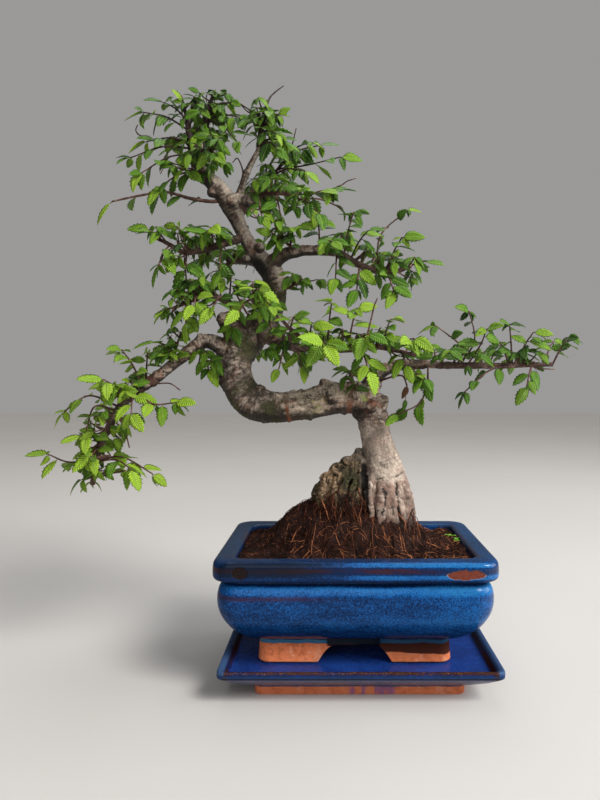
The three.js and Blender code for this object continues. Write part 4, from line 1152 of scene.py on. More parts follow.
@dataclass(frozen=True)
class TrayGlaze:
    """Cobalt glaze on the tray, brown-gold along its lip, and bare clay round its foot."""

    glaze_ends: float = 5.8
    shift: float = 3.3
    body: Colour = (0.011, 0.045, 0.25)
    bright: Colour = (0.02, 0.09, 0.36)
    deep: Colour = (0.005, 0.01, 0.045)
    brown: Colour = (0.028, 0.009, 0.007)
    flank_blue: Colour = (0.012, 0.045, 0.11)
    edge_black: Colour = (0.008, 0.008, 0.01)
    steel: Colour = (0.035, 0.085, 0.19)
    gold: Colour = (0.22, 0.09, 0.035)
    under: Colour = (0.085, 0.08, 0.105)
    dusky: Colour = (0.26, 0.07, 0.045)
    smear: Colour = (0.2, 0.09, 0.22)

    def material(self, groups: "Groups") -> Material:
        """Builds the material.

        Args:
            groups: the shared node groups.

        Returns:
            The material.
        """
        material, graph, place = new_material("tray_cobalt_glaze")
        x, y, z = place.scaled(TO_MM).split()
        outer = graph.facing()[2].remap(0.1, -0.1)
        aside = abs(x - self.shift)
        flank = aside.remap(93.4, 94.4) * y.remap(-70, -66)
        crest = z.band(24.6, 0.7, 0.8) * flank.remap(0, 1, 1, 0.25)
        ends = aside.band(92.8, 1.4, 1) * z.band(21.5, 2, 1)
        glaze = graph.group(
            groups.glaze,
            Place=place,
            Flow=z.remap(18, 22, 0.58, 0.36),
            Break=crest | ends,
            Body=self.body,
            Bright=self.bright,
            Deep=self.deep,
            Brown=self.brown,
        )
        clay = graph.group(groups.clay, Place=place)
        smears = place.scaled((1, 1, 0.3)).noise(130, 3)
        smeared = x.band(12, 14, 4) * smears.remap(0.46, 0.56) * 0.8
        foot = graph.layered(clay["Colour"], (0.36, self.dusky), (smeared, self.smear))
        ragged = z + (smears - 0.5) * 1.6
        bare = ragged.remap(self.glaze_ends + 0.3, self.glaze_ends - 0.3)
        edges = z.band(23.3, 0.3, 0.5) | z.band(20.2, 0.3, 0.6)
        colour = graph.layered(
            glaze["Colour"],
            (outer * z.band(21.8, 0.7, 0.7) * 0.6, self.flank_blue),
            (edges * (outer * 0.85), self.edge_black),
            (flank * z.remap(22, 23.5, 0, 0.75), self.steel),
            (crest * place.noise(1400, 2, 0.7).remap(0.56, 0.66), self.gold),
            (z.remap(19.8, 18.8) * outer * 0.8, self.under),
            (bare, foot),
        )
        inputs = {
            "Base Color": colour,
            "Roughness": bare * 0.85 | glaze["Gloss"],
            "Coat Weight": bare.rest() * 0.13,
            "Coat Roughness": 0.1,
            "Specular IOR Level": 0.05,
        }
        graph.shade(inputs, glaze["Height"] + bare * clay["Height"] * 0.3, 0.5)
        return material


# Where dirt and painted shade darken the bark: middle, radius, softness and strength
GRIME_AND_SHADE: tuple[tuple[Point, float, float, float], ...] = (
    ((-72, 2, 262), 14, 16, 0.8), ((-92, 0, 268), 5, 10, 0.6), ((-88, -8, 212), 9, 18, 0.85),
    ((-66, -10, 196), 10, 15, 0.92), ((-77, -4, 311), 9, 9, 0.95), ((-100, -6, 372), 3, 10, 0.7),
    ((-115, -6, 384), 5, 10, 0.7), ((6, -12, 202), 3, 6, 0.7), ((-2, -8, 209), 1, 6, 0.5),
    ((-108, -4, 376), 3, 12, 0.6), ((-90, -2, 352), 2, 10, 0.7), ((-124, 0, 408), 14, 20, 0.85),
    ((-86, -2, 385), 4, 14, 0.6), ((10, -10, 166), 2, 8, 0.6), ((3, -6, 168), 5, 4, 0.9),
    ((7, -9, 156), 2, 5, 0.9),
)
# Where green algae have settled, the same way
ALGAE: tuple[tuple[Point, float, float, float], ...] = (
    ((-75, -10, 198), 20, 16, 1), ((-58, 4, 300), 15, 12, 1), ((-84, 0, 250), 12, 12, 1),
    ((-36, -14, 208), 5, 12, 1),
)


@dataclass(frozen=True)
class BarkFinish:
    """Grey-brown bark of the old wood, with rust rings, dark knots and green algae, and painted
    light and shade: paler on the level part and on faces turned right, darker on faces turned
    left, on faces turned down, at listed spots, in hollows and in the crook.
    """

    grey: Colour = (0.235, 0.17, 0.135)
    pale: Colour = (0.58, 0.485, 0.4)
    pink: Colour = (0.34, 0.185, 0.145)
    dark: Colour = (0.008, 0.006, 0.005)
    brown: Colour = (0.105, 0.056, 0.04)
    rust: Colour = (0.24, 0.07, 0.032)
    moss: Colour = (0.06, 0.06, 0.02)
    # Dark of the dirt and of the painted shade
    grime_and_shade: Colour = (0.022, 0.016, 0.012)
    dirt: Colour = (0.085, 0.06, 0.045)
    smooth: Colour = (0.36, 0.285, 0.225)
    # Pale of the painted light on the level part of the trunk
    wear_and_painted_light: Colour = (0.55, 0.44, 0.34)
    dark_speck: Colour = (0.05, 0.033, 0.024)
    pale_speck: Colour = (0.72, 0.57, 0.44)
    tan: Colour = (0.3, 0.13, 0.07)
    # Pale of the painted light on faces turned right, and dark of the painted shade on faces
    # turned left
    light_turned_right: Colour = (0.5, 0.42, 0.34)
    shade_turned_left: Colour = (0.035, 0.024, 0.018)
    arm: Colour = (0.085, 0.05, 0.036)
    foot: Colour = (0.27, 0.17, 0.13)
    earthy: Colour = (0.035, 0.016, 0.011)
    bud: Colour = (0.06, 0.02, 0.013)
    lichen: Colour = (0.42, 0.5, 0.12)
    flake: Colour = (0.42, 0.37, 0.13)
    root_moss: Colour = (0.075, 0.075, 0.02)
    roots: tuple[tuple[float, Colour], ...] = (
        (0.36, (0.012, 0.009, 0.006)),
        (0.46, (0.035, 0.025, 0.013)),
        (0.53, (0.11, 0.072, 0.034)),
        (0.61, (0.28, 0.185, 0.1)),
        (0.71, (0.42, 0.28, 0.19)),
    )

    def material(self, groups: "Groups") -> Material:
        """Builds the material.

        Args:
            groups: the shared node groups.

        Returns:
            The material.
        """
        material, graph, place = new_material("elm_bark")
        x, _, z = place.scaled(TO_MM).split()
        aside, _, below = graph.facing()
        grain = graph.value("grain", "Vector")
        bark = graph.group(groups.bark, Place=grain, Along=graph.value("along"), Pitch=1)
        foot = graph.value("foot")
        blotch = place.noise(140, 4, 0.65)
        clump = place.noise(60, 4, 0.65)
        patch = place.noise(420, 3, 0.6)
        high = z.remap(182, 198)
        smooth = high.remap(0, 1, 1, 0) * foot.remap(0, 0.6, 0.6, 0)
        # Painted light: the level part of the trunk is drawn paler
        wear_and_painted_light = x.band(-30, 26, 12) * z.band(212, 13, 5)
        specks = grain.noise(210, 4, 0.7) + place.noise(190, 4, 0.7)
        specks = specks.remap(0.6, 1.4, 0.26, 0.74)
        crumbs = place.noise(560, 3, 0.7)
        dim = specks.remap(0.49, 0.42) * crumbs.remap(0.6, 0.46, 0.25, 0.95)
        lit = specks.remap(0.52, 0.6) * crumbs.remap(0.42, 0.55, 0.25, 0.95)
        upper = z.remap(290, 304) * x.remap(-45, -52)
        # Painted light and shade by the way a face turns: lighter turned right, darker turned
        # left, and darker turned down
        turned = aside + (clump - 0.5) * 0.7
        shaded = (below + clump * 0.6).remap(0.2, -0.4, 0, 0.9)
        rings = (x + (z - 209) * 0.15).band(-51.5, 0.4, 1.8) | x.band(-3.5, 1.2, 1.8) * 0.8
        rust = rings * z.band(208, 16, 4) * blotch.remap(0.36, 0.6, 0.3, 0.85)
        elbow = place.spot((14, -14, 206), 7, 9) * blotch.remap(0.5, 0.66, 0, 0.4)
        buds = place.spot((-153, -20, 224.5), 4.5, 2.5) * blotch.remap(0.35, 0.5, 0.4, 0.9)
        lichen = place.spot((7.8, -17, 211), 1.6, 2.6) * patch.remap(0.42, 0.56)
        flakes = place.spot((-27, -20, 206), 4, 5) * patch.remap(0.46, 0.58, 0, 0.7)
        # Painted shade: near black in the crook of the upper trunk
        crook_shade = place.spot((-77, -5, 310), 7, 6) * clump.remap(0.3, 0.5, 0.6, 0.97)
        root_clump = x.remap(9, 4) * z.remap(172, 160)
        colour = graph.layered(
            graph.mix(bark["Pale"].remap(0.42, 0.6), self.grey, self.pale),
            (place.noise(42, 4, 0.6).remap(0.5, 0.38, 0, 0.6), self.dirt),
            (blotch.remap(0.5, 0.68, 0, 0.6), self.pink),
            (smooth, self.smooth),
            # Painted light on the level part of the trunk
            (wear_and_painted_light * 0.6, self.wear_and_painted_light),
            (dim * high, self.dark_speck),
            (lit * high, self.pale_speck),
            (place.noise(105, 4, 0.65).remap(0.52, 0.66, 0, 0.55) * high, self.tan),
            (graph.value("age").remap(0.2, 1, 0, 0.4), self.brown),
            (bark["Pore"] * 0.5, self.pale),
            (bark["Furrow"] * 0.32, self.dark),
            # Dirt and painted shade at the listed spots
            (self.spots(place, GRIME_AND_SHADE) * clump.remap(0.3, 0.6, 0.45, 1), self.grime_and_shade),
            # Painted light on the upper trunk's faces turned right, and painted shade on faces
            # turned left
            (turned.remap(0, 0.55, 0, 0.75) * upper, self.light_turned_right),
            (turned.remap(-0.1, -0.7, 0, 0.85) * (high | upper), self.shade_turned_left),
            (x.remap(24, 38) * z.remap(218, 228, 0, 0.75), self.arm),
            # Painted shade on faces turned down
            (shaded * high, self.grime_and_shade),
            (foot * blotch.remap(0.38, 0.6, 0.35, 0.8), self.foot),
            (root_clump, self.root_colour(graph, grain, place)),
            (z.remap(126, 112, 0, 0.93), self.earthy),
            (rust | elbow, self.rust),
            (buds, self.bud),
            (self.spots(place, ALGAE) * clump.remap(0.42, 0.6, 0, 0.85), self.moss),
            (lichen, self.lichen),
            (flakes, self.flake),
            # Painted shade in the crook
            (crook_shade, self.dark),
            # Painted shade in the bark's hollows
            (graph.value("hollow").remap(0.15, 0.8, 0, 0.97), self.dark),
        )
        height = bark["Height"]
        rough = height.remap(0.2, 1, 0.9, 0.6)
        inputs = {"Base Color": colour, "Roughness": rough, "Specular IOR Level": 0.3}
        graph.shade(inputs, height, 1)
        return material

    @staticmethod
    def spots(place: Value, table: Sequence[tuple[Point, float, float, float]]) -> Value:
        """The strongest of many soft spots: their middles, radii, softness and strengths."""
        masks = [place.spot(at, radius, soft) * share for at, radius, soft, share in table]
        total = masks[0]
        for mask in masks[1:]:
            total = total | mask
        return total

    def root_colour(self, graph: Graph, grain: Value, place: Value) -> Value:
        """Colour of the root clump: dark brown and moss, with tan and pinkish streaks down it.

        Args:
            graph: the material's graph.
            grain: the place on the wood, squeezed along it, which draws noise out into streaks.
            place: the place on the piece.

        Returns:
            The colour.
        """
        streak = grain.noise(420, 3, 0.6)
        golden = place.spot((-20, -14, 146), 8, 9)
        pocket = place.spot((-2, -16, 148), 4, 8)
        mixed = streak * 0.55 + grain.noise(130, 2, 0.5) * 0.45 + golden * 0.1 - pocket * 0.09
        green = pocket * streak.remap(0.45, 0.6, 0.2, 0.7)
        return graph.mix(green, graph.ramp(mixed, self.roots), self.root_moss)


@dataclass(frozen=True)
class TwigFinish:
    """Thin red-brown bark of the young stems, paler and redder towards their tips."""

    old: Colour = (0.09, 0.06, 0.047)
    young: Colour = (0.09, 0.036, 0.022)
    pale: Colour = (0.36, 0.235, 0.185)
    dark: Colour = (0.045, 0.018, 0.013)
    furrow: Colour = (0.02, 0.011, 0.009)
    pore: Colour = (0.3, 0.2, 0.14)
    crown: Colour = (0.022, 0.012, 0.01)

    def material(self, groups: "Groups") -> Material:
        """Builds the material.

        Args:
            groups: the shared node groups.

        Returns:
            The material.
        """
        material, graph, place = new_material("twig_bark")
        bark = graph.group(groups.bark, Place=place, Along=graph.value("along"), Pitch=2.2)
        level = place.scaled(TO_MM).split()[2]
        colour = graph.layered(
            graph.mix(graph.value("youth"), self.old, self.young),
            (bark["Pale"].remap(0.48, 0.7, 0, 0.65), self.pale),
            (place.noise(75, 3, 0.6).remap(0.48, 0.6, 0, 0.8), self.dark),
            (bark["Furrow"] * 0.6, self.furrow),
            (bark["Pore"] * 0.5, self.pore),
            # Twigs high in the crown are drawn darker: dirt and painted shade of the dense wood
            # there
            (level.remap(372, 404, 0, 0.78), self.crown),
        )
        height = bark["Height"]
        rough = height.remap(0.2, 1, 0.75, 0.5)
        inputs = {"Base Color": colour, "Roughness": rough, "Specular IOR Level": 0.3}
        graph.shade(inputs, height, 0.4)
        return material


@dataclass(frozen=True)
class LeafFinish:
    """A leaf's blade: colour by age and by painted light and shade, paler veins and a satin
    surface.
    """

    name: str = "elm_leaf"
    dark: Colour = (0.02, 0.066, 0.008)
    middle: Colour = (0.078, 0.19, 0.01)
    young: Colour = (0.27, 0.43, 0.03)
    vein: Colour = (0.3, 0.44, 0.09)
    roughness: float = 0.36
    glow: float = 0.12

    def material(self, groups: "Groups") -> Material:
        """Builds the material.

        Args:
            groups: the shared node groups.

        Returns:
            The material.
        """
        material, graph, place = new_material(self.name)
        veins = graph.group(groups.veins, Map=graph.get("UVMap"), Pairs=11)
        blotch = place.noise(190, 3, 0.6)
        shade = graph.math("ADD", graph.value("tone"), (blotch - 0.5) * 0.45, clamp=True)
        colour = graph.ramp(shade, [(0, self.dark), (0.45, self.middle), (1, self.young)])
        inputs = {
            "Base Color": graph.mix(veins["Vein"] * 0.5, colour, self.vein),
            "Roughness": blotch.remap(0.3, 0.7, self.roughness - 0.06, self.roughness + 0.1),
            "Specular IOR Level": 0.22,
            "Subsurface Weight": self.glow,
            "Subsurface Radius": (0.6, 1, 0.15),
            "Subsurface Scale": 0.8 * MM,
        }
        graph.shade(inputs, veins["Height"], 0.6)
        return material


@dataclass(frozen=True)
class FibreFinish:
    """Damp coir and crumbs: dark clotted ground, or single strands from rust to straw."""

    name: str
    dark: Colour
    middle: Colour
    light: Colour
    strand: bool
    fleck: Colour = (0.1, 0.035, 0.018)

    def material(self) -> Material:
        """Builds the material."""
        material, graph, place = new_material(self.name)
        grain = place.noise(700, 4, 0.7)
        if self.strand:
            mixed = graph.math("ADD", graph.value("tone"), (grain - 0.5) * 0.4, clamp=True)
            colour = graph.ramp(mixed, [(0, self.dark), (0.5, self.middle), (1, self.light)])
        else:
            mixed = grain * 0.5 + place.noise(160, 4, 0.65) * 0.5
            stops = [(0.38, self.dark), (0.52, self.middle), (0.66, self.light)]
            colour = graph.ramp(mixed, stops)
            for stretch in ((1, 0.14, 0.5), (0.14, 1, 0.5), (0.7, 0.7, 0.14)):
                lines = place.scaled(stretch).noise(1700, 3, 0.6)
                colour = graph.mix(lines.remap(0.6, 0.68, 0, 0.6), colour, self.fleck)
        rough = grain.remap(0.2, 0.8, 0.95, 0.7)
        inputs = {"Base Color": colour, "Roughness": rough, "Specular IOR Level": 0.15}
        graph.shade(inputs, grain, 0.4)
        return material


@dataclass(frozen=True)
class PlasticFinish:
    """Matt black moulded mesh, dusty in its corners."""

    black: Colour = (0.012, 0.013, 0.013)
    dust: Colour = (0.07, 0.045, 0.03)

    def material(self) -> Material:
        """Builds the material."""
        material, graph, place = new_material("drain_mesh_plastic")
        dust = place.noise(350, 4, 0.7)
        colour = graph.mix(dust.remap(0.5, 0.75), self.black, self.dust)
        inputs = {"Base Color": colour, "Roughness": dust.remap(0.3, 0.7, 0.45, 0.75)}
        graph.shade(inputs, place.noise(1500), 0.05)
        return material


@dataclass
class Groups:
    """The shared node groups, each built once."""

    glaze: bpy.types.NodeTree = field(default_factory=speckled_glaze_group)
    clay: bpy.types.NodeTree = field(default_factory=bare_clay_group)
    bark: bpy.types.NodeTree = field(default_factory=bark_grain_group)
    veins: bpy.types.NodeTree = field(default_factory=leaf_vein_group)


# The object's pieces


@dataclass
class DripTray:
    """The glazed tray: a flat foot, a flared wall, a sharp lip and a flat floor.

    The levels are half length, half depth, corner radius and height, from the middle of the
    underside out, over the lip and in to the middle of the floor.
    """

    shift: float = 3.3
    warp: float = 0.12
    levels: Path = (
        (75, 46, 5, 0), (75.4, 46.4, 5, 0.5), (75.5, 46.5, 5, 1.2), (75.5, 46.5, 5, 6.2),
        (77, 48, 5, 7.4), (90, 58.5, 5, 13.5), (97, 65, 5, 18.4), (99, 66.4, 5, 19.8),
        (99.4, 66.8, 5, 20.6), (99.4, 66.8, 5, 23.8), (99.1, 66.5, 5, 24.8),
        (98.3, 65.8, 4.6, 25.1), (96.6, 64.4, 4.4, 24.8), (95.4, 63.2, 4.4, 23.9),
        (92.6, 60.4, 4.4, 19.8), (91.4, 59.2, 4.4, 18.4), (89, 57, 4.4, 18), (60, 30, 4, 18),
    )

    def build(self, finish: Material) -> Object:
        """Builds the tray from rings at each level, with a very slight warp from the kiln.

        Args:
            finish: its glaze and clay.

        Returns:
            The piece.
        """
        rings = Outline().rings(round_corners(np.array(self.levels), 2))
        rings[..., 0] += self.shift
        flat = rings.reshape(-1, 3)
        inner = flat[:, 2] > 1.0
        flat[inner, 2] -= self.warp + self.warp * lattice_noise(flat[inner] / 45, 3)
        skin = Skin()
        skin.add_tube(flat.reshape(rings.shape))
        name = "glazed_drip_tray"
        return place(name, skin.mesh(name), [finish], Slot.TRAY, ["drip_tray"])


@dataclass
class GlazedPot:
    """The pot: bulged body, waist, rolled lip, a ring of feet with arches, and drainage holes."""

    depth_less: float = 34.0
    outside: Path = (
        (68, 10, 36.2), (77, 12, 38), (84.5, 13, 42.5), (90.5, 14, 49), (95.7, 15, 58),
        (97.8, 15, 66), (98, 15, 73), (97, 14.5, 78.5), (95.4, 14, 81.2), (93.4, 13.5, 82.6),
        (93, 13, 83.6), (93.4, 13, 84.6), (96.6, 13, 85), (99, 13, 85.6), (100.2, 13, 87.2),
        (100.4, 13, 90), (100.3, 13, 95.5), (99.6, 13, 98), (98.2, 12.5, 99.1), (96.6, 12, 99.4),
        (88.4, 9, 99.3), (86.6, 8.4, 98.9), (85.7, 8, 98), (85.5, 8, 96), (85.5, 8, 86),
        (88.2, 9, 75), (88.2, 9, 66), (84, 9, 54), (76, 8, 46.5), (64, 7, 43.5),
    )
    foot_half: tuple[float, float] = (70.0, 36.0)
    foot_wall: float = 9.0
    foot_floor: float = 18.3
    foot_top: float = 39.0
    foot_flare: float = 1.2
    front_arch: tuple[float, float, float] = (27.0, 15.0, 12.5)
    side_arch: tuple[float, float, float] = (15.0, 7.0, 11.0)
    hole_radius: float = 7.5
    hole_x: float = 38.0

    def build(self, finish: Material) -> Object:
        """Builds the body, bores its two drainage holes and joins the feet to it.

        Args:
            finish: its glaze and clay.

        Returns:
            The piece.
        """
        levels = np.array(self.outside)
        full = np.insert(levels, 1, levels[:, 0] - self.depth_less, axis=1)
        body = Skin()
        body.add_tube(Outline(8, 52, 34).rings(round_corners(full, 2)))
        blank = show("pot_blank", body.mesh("pot_blank"))
        drills = [self.drill(side) for side in (-1, 1)]
        for tool in drills:
            cut = blank.modifiers.new("drain_hole", "BOOLEAN")
            cut.object = tool
            cut.operation = "DIFFERENCE"
            cut.solver = "EXACT"
        bpy.context.view_layer.update()
        bored = finished(blank)
        for tool in drills:
            bpy.data.objects.remove(tool)
        whole = Skin()
        polygons = [list(polygon.vertices) for polygon in bored.polygons]
        whole.points.append(read_rows(bored.vertices, "co") / MM)
        whole.faces.extend(polygons)
        whole.materials.extend([0] * len(polygons))
        whole.count = len(bored.vertices)
        points, faces = self.feet()
        whole.add(points.reshape(-1, 3), [faces])
        data = whole.mesh("glazed_pot")
        return place("glazed_pot", data, [finish], Slot.POT, ["pot"])

    def drill(self, side: int) -> Object:
        """The round tool that bores one drainage hole.

        Args:
            side: -1 for the left hole and 1 for the right one.

        Returns:
            An object that the caller takes away again.
        """
        x, radius = side * self.hole_x, self.hole_radius
        path = np.array([(x, 0, height, radius) for height in (30, 40, 50)])
        skin = Skin()
        skin.add_tube(tube_rings(path, 40, np.array([0.0, 1.0, 2.0])))
        return show("drain_drill", skin.mesh("drain_drill"))

    def arch(self, away: Array, shape: tuple[float, float, float]) -> Array:
        """Height of an arch over the floor.

        Flat within its top half width, then falling in a slant that steepens: its height times
        one less the share of the way out to the power 1.7.

        Args:
            away: distances from the arch's middle.
            shape: its half width at the floor, its half width at the top, and its height.

        Returns:
            Heights, 0 beyond the arch.
        """
        bottom, top, height = shape
        return height * (1 - climb(away, top, bottom - top) ** 1.7)

    def feet(self) -> tuple[Array, Array]:
        """Rings of the foot wall, carried round the pot, with its lower edge raised at the arches.

        Returns:
            Points as place round the pot, place round the wall's section, and coordinate, and
            the faces between them.
        """
        outline = Outline(8, 150, 80)
        length, depth = self.foot_half
        mid = outline.rings(np.array([[length, depth, 8.0, 0.0]]))[0, :, :2]
        along = np.roll(mid, -1, axis=0) - np.roll(mid, 1, axis=0)
        out = unit(np.stack([along[:, 1], -along[:, 0]], axis=-1))
        on_front = np.abs(out[:, 1]) > 0.99
        on_side = np.abs(out[:, 0]) > 0.99
        rise = np.where(on_front, self.arch(np.abs(mid[:, 0]), self.front_arch), 0.0)
        rise = rise + np.where(on_side, self.arch(np.abs(mid[:, 1]), self.side_arch), 0.0)
        low = self.foot_floor + rise
        top = np.full_like(low, self.foot_top)
        flare, wall = self.foot_flare, self.foot_wall
        section = [
            (-1.0, top),
            (0.2, top - 4.0),
            (flare * 0.9, low * 0.4 + (low + 3.0) * 0.6),
            (flare, low + 1.4),
            (0.9, low + 0.6),
            (0.2, low + 0.12),
            (-0.8, low),
            (-wall + 0.8, low),
            (-wall + 0.1, low + 0.3),
            (-wall, low + 1.0),
            (-wall, top),
        ]
        rows = [np.column_stack([mid + out * offset, height]) for offset, height in section]
        return np.stack(rows, axis=1), grid_faces(len(mid), len(section), closed=True)


@dataclass
class SoilHeap:
    """Damp fibre soil: it fills the pot and is heaped over the root ball."""

    edge_height: float = 93.6
    heap_height: float = 38.0
    heap_middle: tuple[float, float] = (-5.0, 4.0)
    heap_half: tuple[float, float] = (58.0, 38.0)
    rim_half: tuple[float, float] = (85.08, 51.08)
    corner: float = 8.0
    buried: Path = (
        (63.6, 29.6, 7, 43.8), (75.6, 41.6, 8, 46.8), (83.6, 49.6, 9, 54.3), (87.7, 53.7, 9, 66.3),
        (87.7, 53.7, 9, 75.3), (85.08, 51.08, 8, 86.3),
    )
    strands: int = 5300
    rootlets: int = 190
    crumbs: int = 1500
    seedlings: Path = ((78, 16), (80.5, 13.5), (82.5, 9), (84, 11.5), (83, 6.5))

    def height(self, x: Array, y: Array) -> Array:
        """Height of the heap: a flat-topped bell over the root ball, with small waves on it."""
        middle_x, middle_y = self.heap_middle
        half_x, half_y = self.heap_half
        square = ((x - middle_x) / half_x) ** 2 + ((y - middle_y) / half_y) ** 2
        small = 1.1 * np.sin(0.31 * x + 1) * np.cos(0.37 * y)
        wide = 0.9 * np.sin(0.13 * x - 0.21 * y)
        return self.edge_height + self.heap_height * np.exp(-square * square) + small + wide

    def ground(self, x: Array, y: Array) -> Array:
        """Height of the real ground: the heap with clods, hollows and grit on it."""
        flat = np.stack([x, y, np.zeros_like(x)], axis=-1).reshape(-1, 3)
        clods = 2.0 * layered_noise(flat / 8.0, 11, 3) + 0.6 * lattice_noise(flat / 1.7, 17)
        edge = np.minimum(self.rim_half[0] - np.abs(x), self.rim_half[1] - np.abs(y))
        calm = np.clip(edge / 6.0, 0.25, 1.0)
        brim = 2.2 * np.exp(-np.clip(edge, 0, None) / 30)
        return self.height(x, y) - 0.5 + brim + clods.reshape(x.shape) * calm

    def build(self, finishes: Sequence[Material]) -> Object:
        """Builds the ground, the fibres that lie on it and the crumbs between them.

        Args:
            finishes: the ground's material, the strands' material and the seedlings' material.

        Returns:
            The piece.
        """
        skin = Skin()
        outline = Outline(6, 60, 40)
        walls = outline.rings(np.array(self.buried))
        shares = np.linspace(1.0, 0.012, detail(54, 20))
        half_x, half_y = self.rim_half
        levels = [(half_x * s, half_y * s, self.corner * s, 0.0) for s in shares]
        top = outline.rings(np.array(levels))
        top[..., 2] = self.ground(top[..., 0], top[..., 1])
        skin.add_tube(np.concatenate([walls, top]), tone=0.0)
        random = np.random.default_rng(41)
        self.add_strands(skin, random)
        self.add_rootlets(skin, random)
        self.add_crumbs(skin, random)
        self.add_seedlings(skin)
        return place("coir_soil", skin.mesh("coir_soil"), finishes, Slot.SOIL, ["soil"])

    def scatter(self, random: np.random.Generator, count: int, margin: float) -> Array:
        """Random places on the soil, x and y in millimetres, kept a margin from the pot's wall."""
        half = np.array(self.rim_half) - margin
        return random.uniform(-1, 1, (count, 2)) * half

    def add_strands(self, skin: Skin, random: np.random.Generator) -> None:
        """Adds curling fibres that hug the ground, each a thin three-sided tube.

        A strand walks from its start in steps whose heading turns at a steady random rate, and
        each of its points is set on the ground with a little lift in the middle.

        Args:
            skin: the mesh to add to.
            random: the source of random numbers.
        """
        count, steps = detail(self.strands, self.strands // 8), 4
        start = self.scatter(random, count, 1.0)
        length = random.gamma(2.2, 3.0, count).clip(2.0, 22.0)
        heading = random.uniform(0, 2 * np.pi, (count, 1))
        curl = random.normal(0, 0.2, (count, 1))
        wobble = random.normal(0, 0.2, (count, steps)).cumsum(axis=1)
        turn = heading + curl * np.arange(steps) + wobble
        stride = (length / steps)[:, None, None]
        walked = (np.stack([np.cos(turn), np.sin(turn)], axis=-1) * stride).cumsum(axis=1)
        walked = np.concatenate([np.zeros((count, 1, 2)), walked], axis=1)
        half = np.array(self.rim_half) - 0.8
        x, y = np.clip(start[:, None] + walked, -half, half).transpose(2, 0, 1)
        lift = random.gamma(1.2, 0.5, (count, 1)).clip(0, 1.7)
        z = self.ground(x, y) + 0.12 + np.sin(np.linspace(0, np.pi, steps + 1)) * lift
        girth = np.sqrt(length / 8)[:, None].clip(0.6, 1.3)
        thick = random.uniform(0.12, 0.28, (count, 1)) * girth
        dim = 0.2 * climb(start[:, 0], -5, -60) + 0.07 * climb(start[:, 0], 20, 40)
        tones = np.clip(random.beta(0.9, 1.7, count) - dim, 0, 1)
        self.add_threads(skin, np.stack([x, y, z], axis=-1), thick, tones)

    def add_rootlets(self, skin: Skin, random: np.random.Generator) -> None:
        """Adds fine roots that hang down the front of the root clump and run into the soil.

        A rootlet starts on the clump, falls along a slightly leaning, waving line, and keeps in
        front of the clump until it meets the ground, where it runs on outwards.

        Args:
            skin: the mesh to add to.
            random: the source of random numbers.
        """
        count, steps = self.rootlets, 7
        share = np.linspace(0, 1, steps + 1)
        on_clump = random.random((count, 1)) < 0.75
        left, right = (random.uniform(*ends, (count, 1)) for ends in ((-27, 9), (9, 46)))
        start = np.where(on_clump, left, right)
        lean = random.normal(0, 6.0, (count, 1)) * share
        x = start + lean + random.normal(0, 0.9, (count, steps + 1)).cumsum(axis=1)
        crown = np.sqrt(np.clip(1 - ((start + 8) / 23) ** 2, 0.12, 1))
        top = 116 + random.uniform(0.0, 32, (count, 1)) * crown
        under_trunk = climb(x, 9, 6) * (0.012 * (x - 26) ** 2 - 2)
        bulge = -20.5 + 0.016 * (np.minimum(x, 12) + 8) ** 2 + under_trunk
        bulge = bulge - (4.0 + random.uniform(0, 3.5, (count, 1))) * share
        y = bulge + random.normal(0, 0.35, (count, steps + 1)).cumsum(axis=1)
        z = top + (self.ground(x, y) - top) * share**1.2 + 0.4
        thick = random.gamma(2.0, 0.12, (count, 1)).clip(0.12, 0.55)
        self.add_threads(skin, np.stack([x, y, z], axis=-1), thick, random.beta(1.2, 2.2, count))

    def add_threads(self, skin: Skin, centre: Array, thick: Array, tones: Array) -> None:
        """Adds many thin three-sided tubes at once.

        Args:
            skin: the mesh to add to.
            centre: their middle lines as thread, place along it, and coordinate.
            thick: the radius of each thread, as a column.
            tones: the tone of each thread.
        """
        count, stations = centre.shape[:2]
        along = unit(np.gradient(centre, axis=1))
        side = unit(np.cross(along, (0.2, 0.1, 1.0)))
        other = np.cross(side, along)
        taper = np.interp(np.linspace(0, 1, stations), (0, 0.2, 0.7, 1), (0.5, 1.0, 0.9, 0.3))
        angle = np.arange(3) / 3 * 2 * np.pi
        cosine, sine = np.cos(angle)[:, None], np.sin(angle)[:, None]
        spread = cosine * side[:, :, None, :] - sine * other[:, :, None, :]
        rings = centre[:, :, None, :] + (thick * taper)[..., None, None] * spread
        size = stations * 3
        offset = (np.arange(count) * size)[:, None, None]
        walls = (grid_faces(stations, 3)[None] + offset).reshape(-1, 4)
        ends = np.array([[0, 2, 1], [size - 3, size - 2, size - 1]])
        caps = (ends[None] + offset).reshape(-1, 3)
        skin.add(rings.reshape(-1, 3), [walls, caps], 1, tone=np.repeat(tones, size))

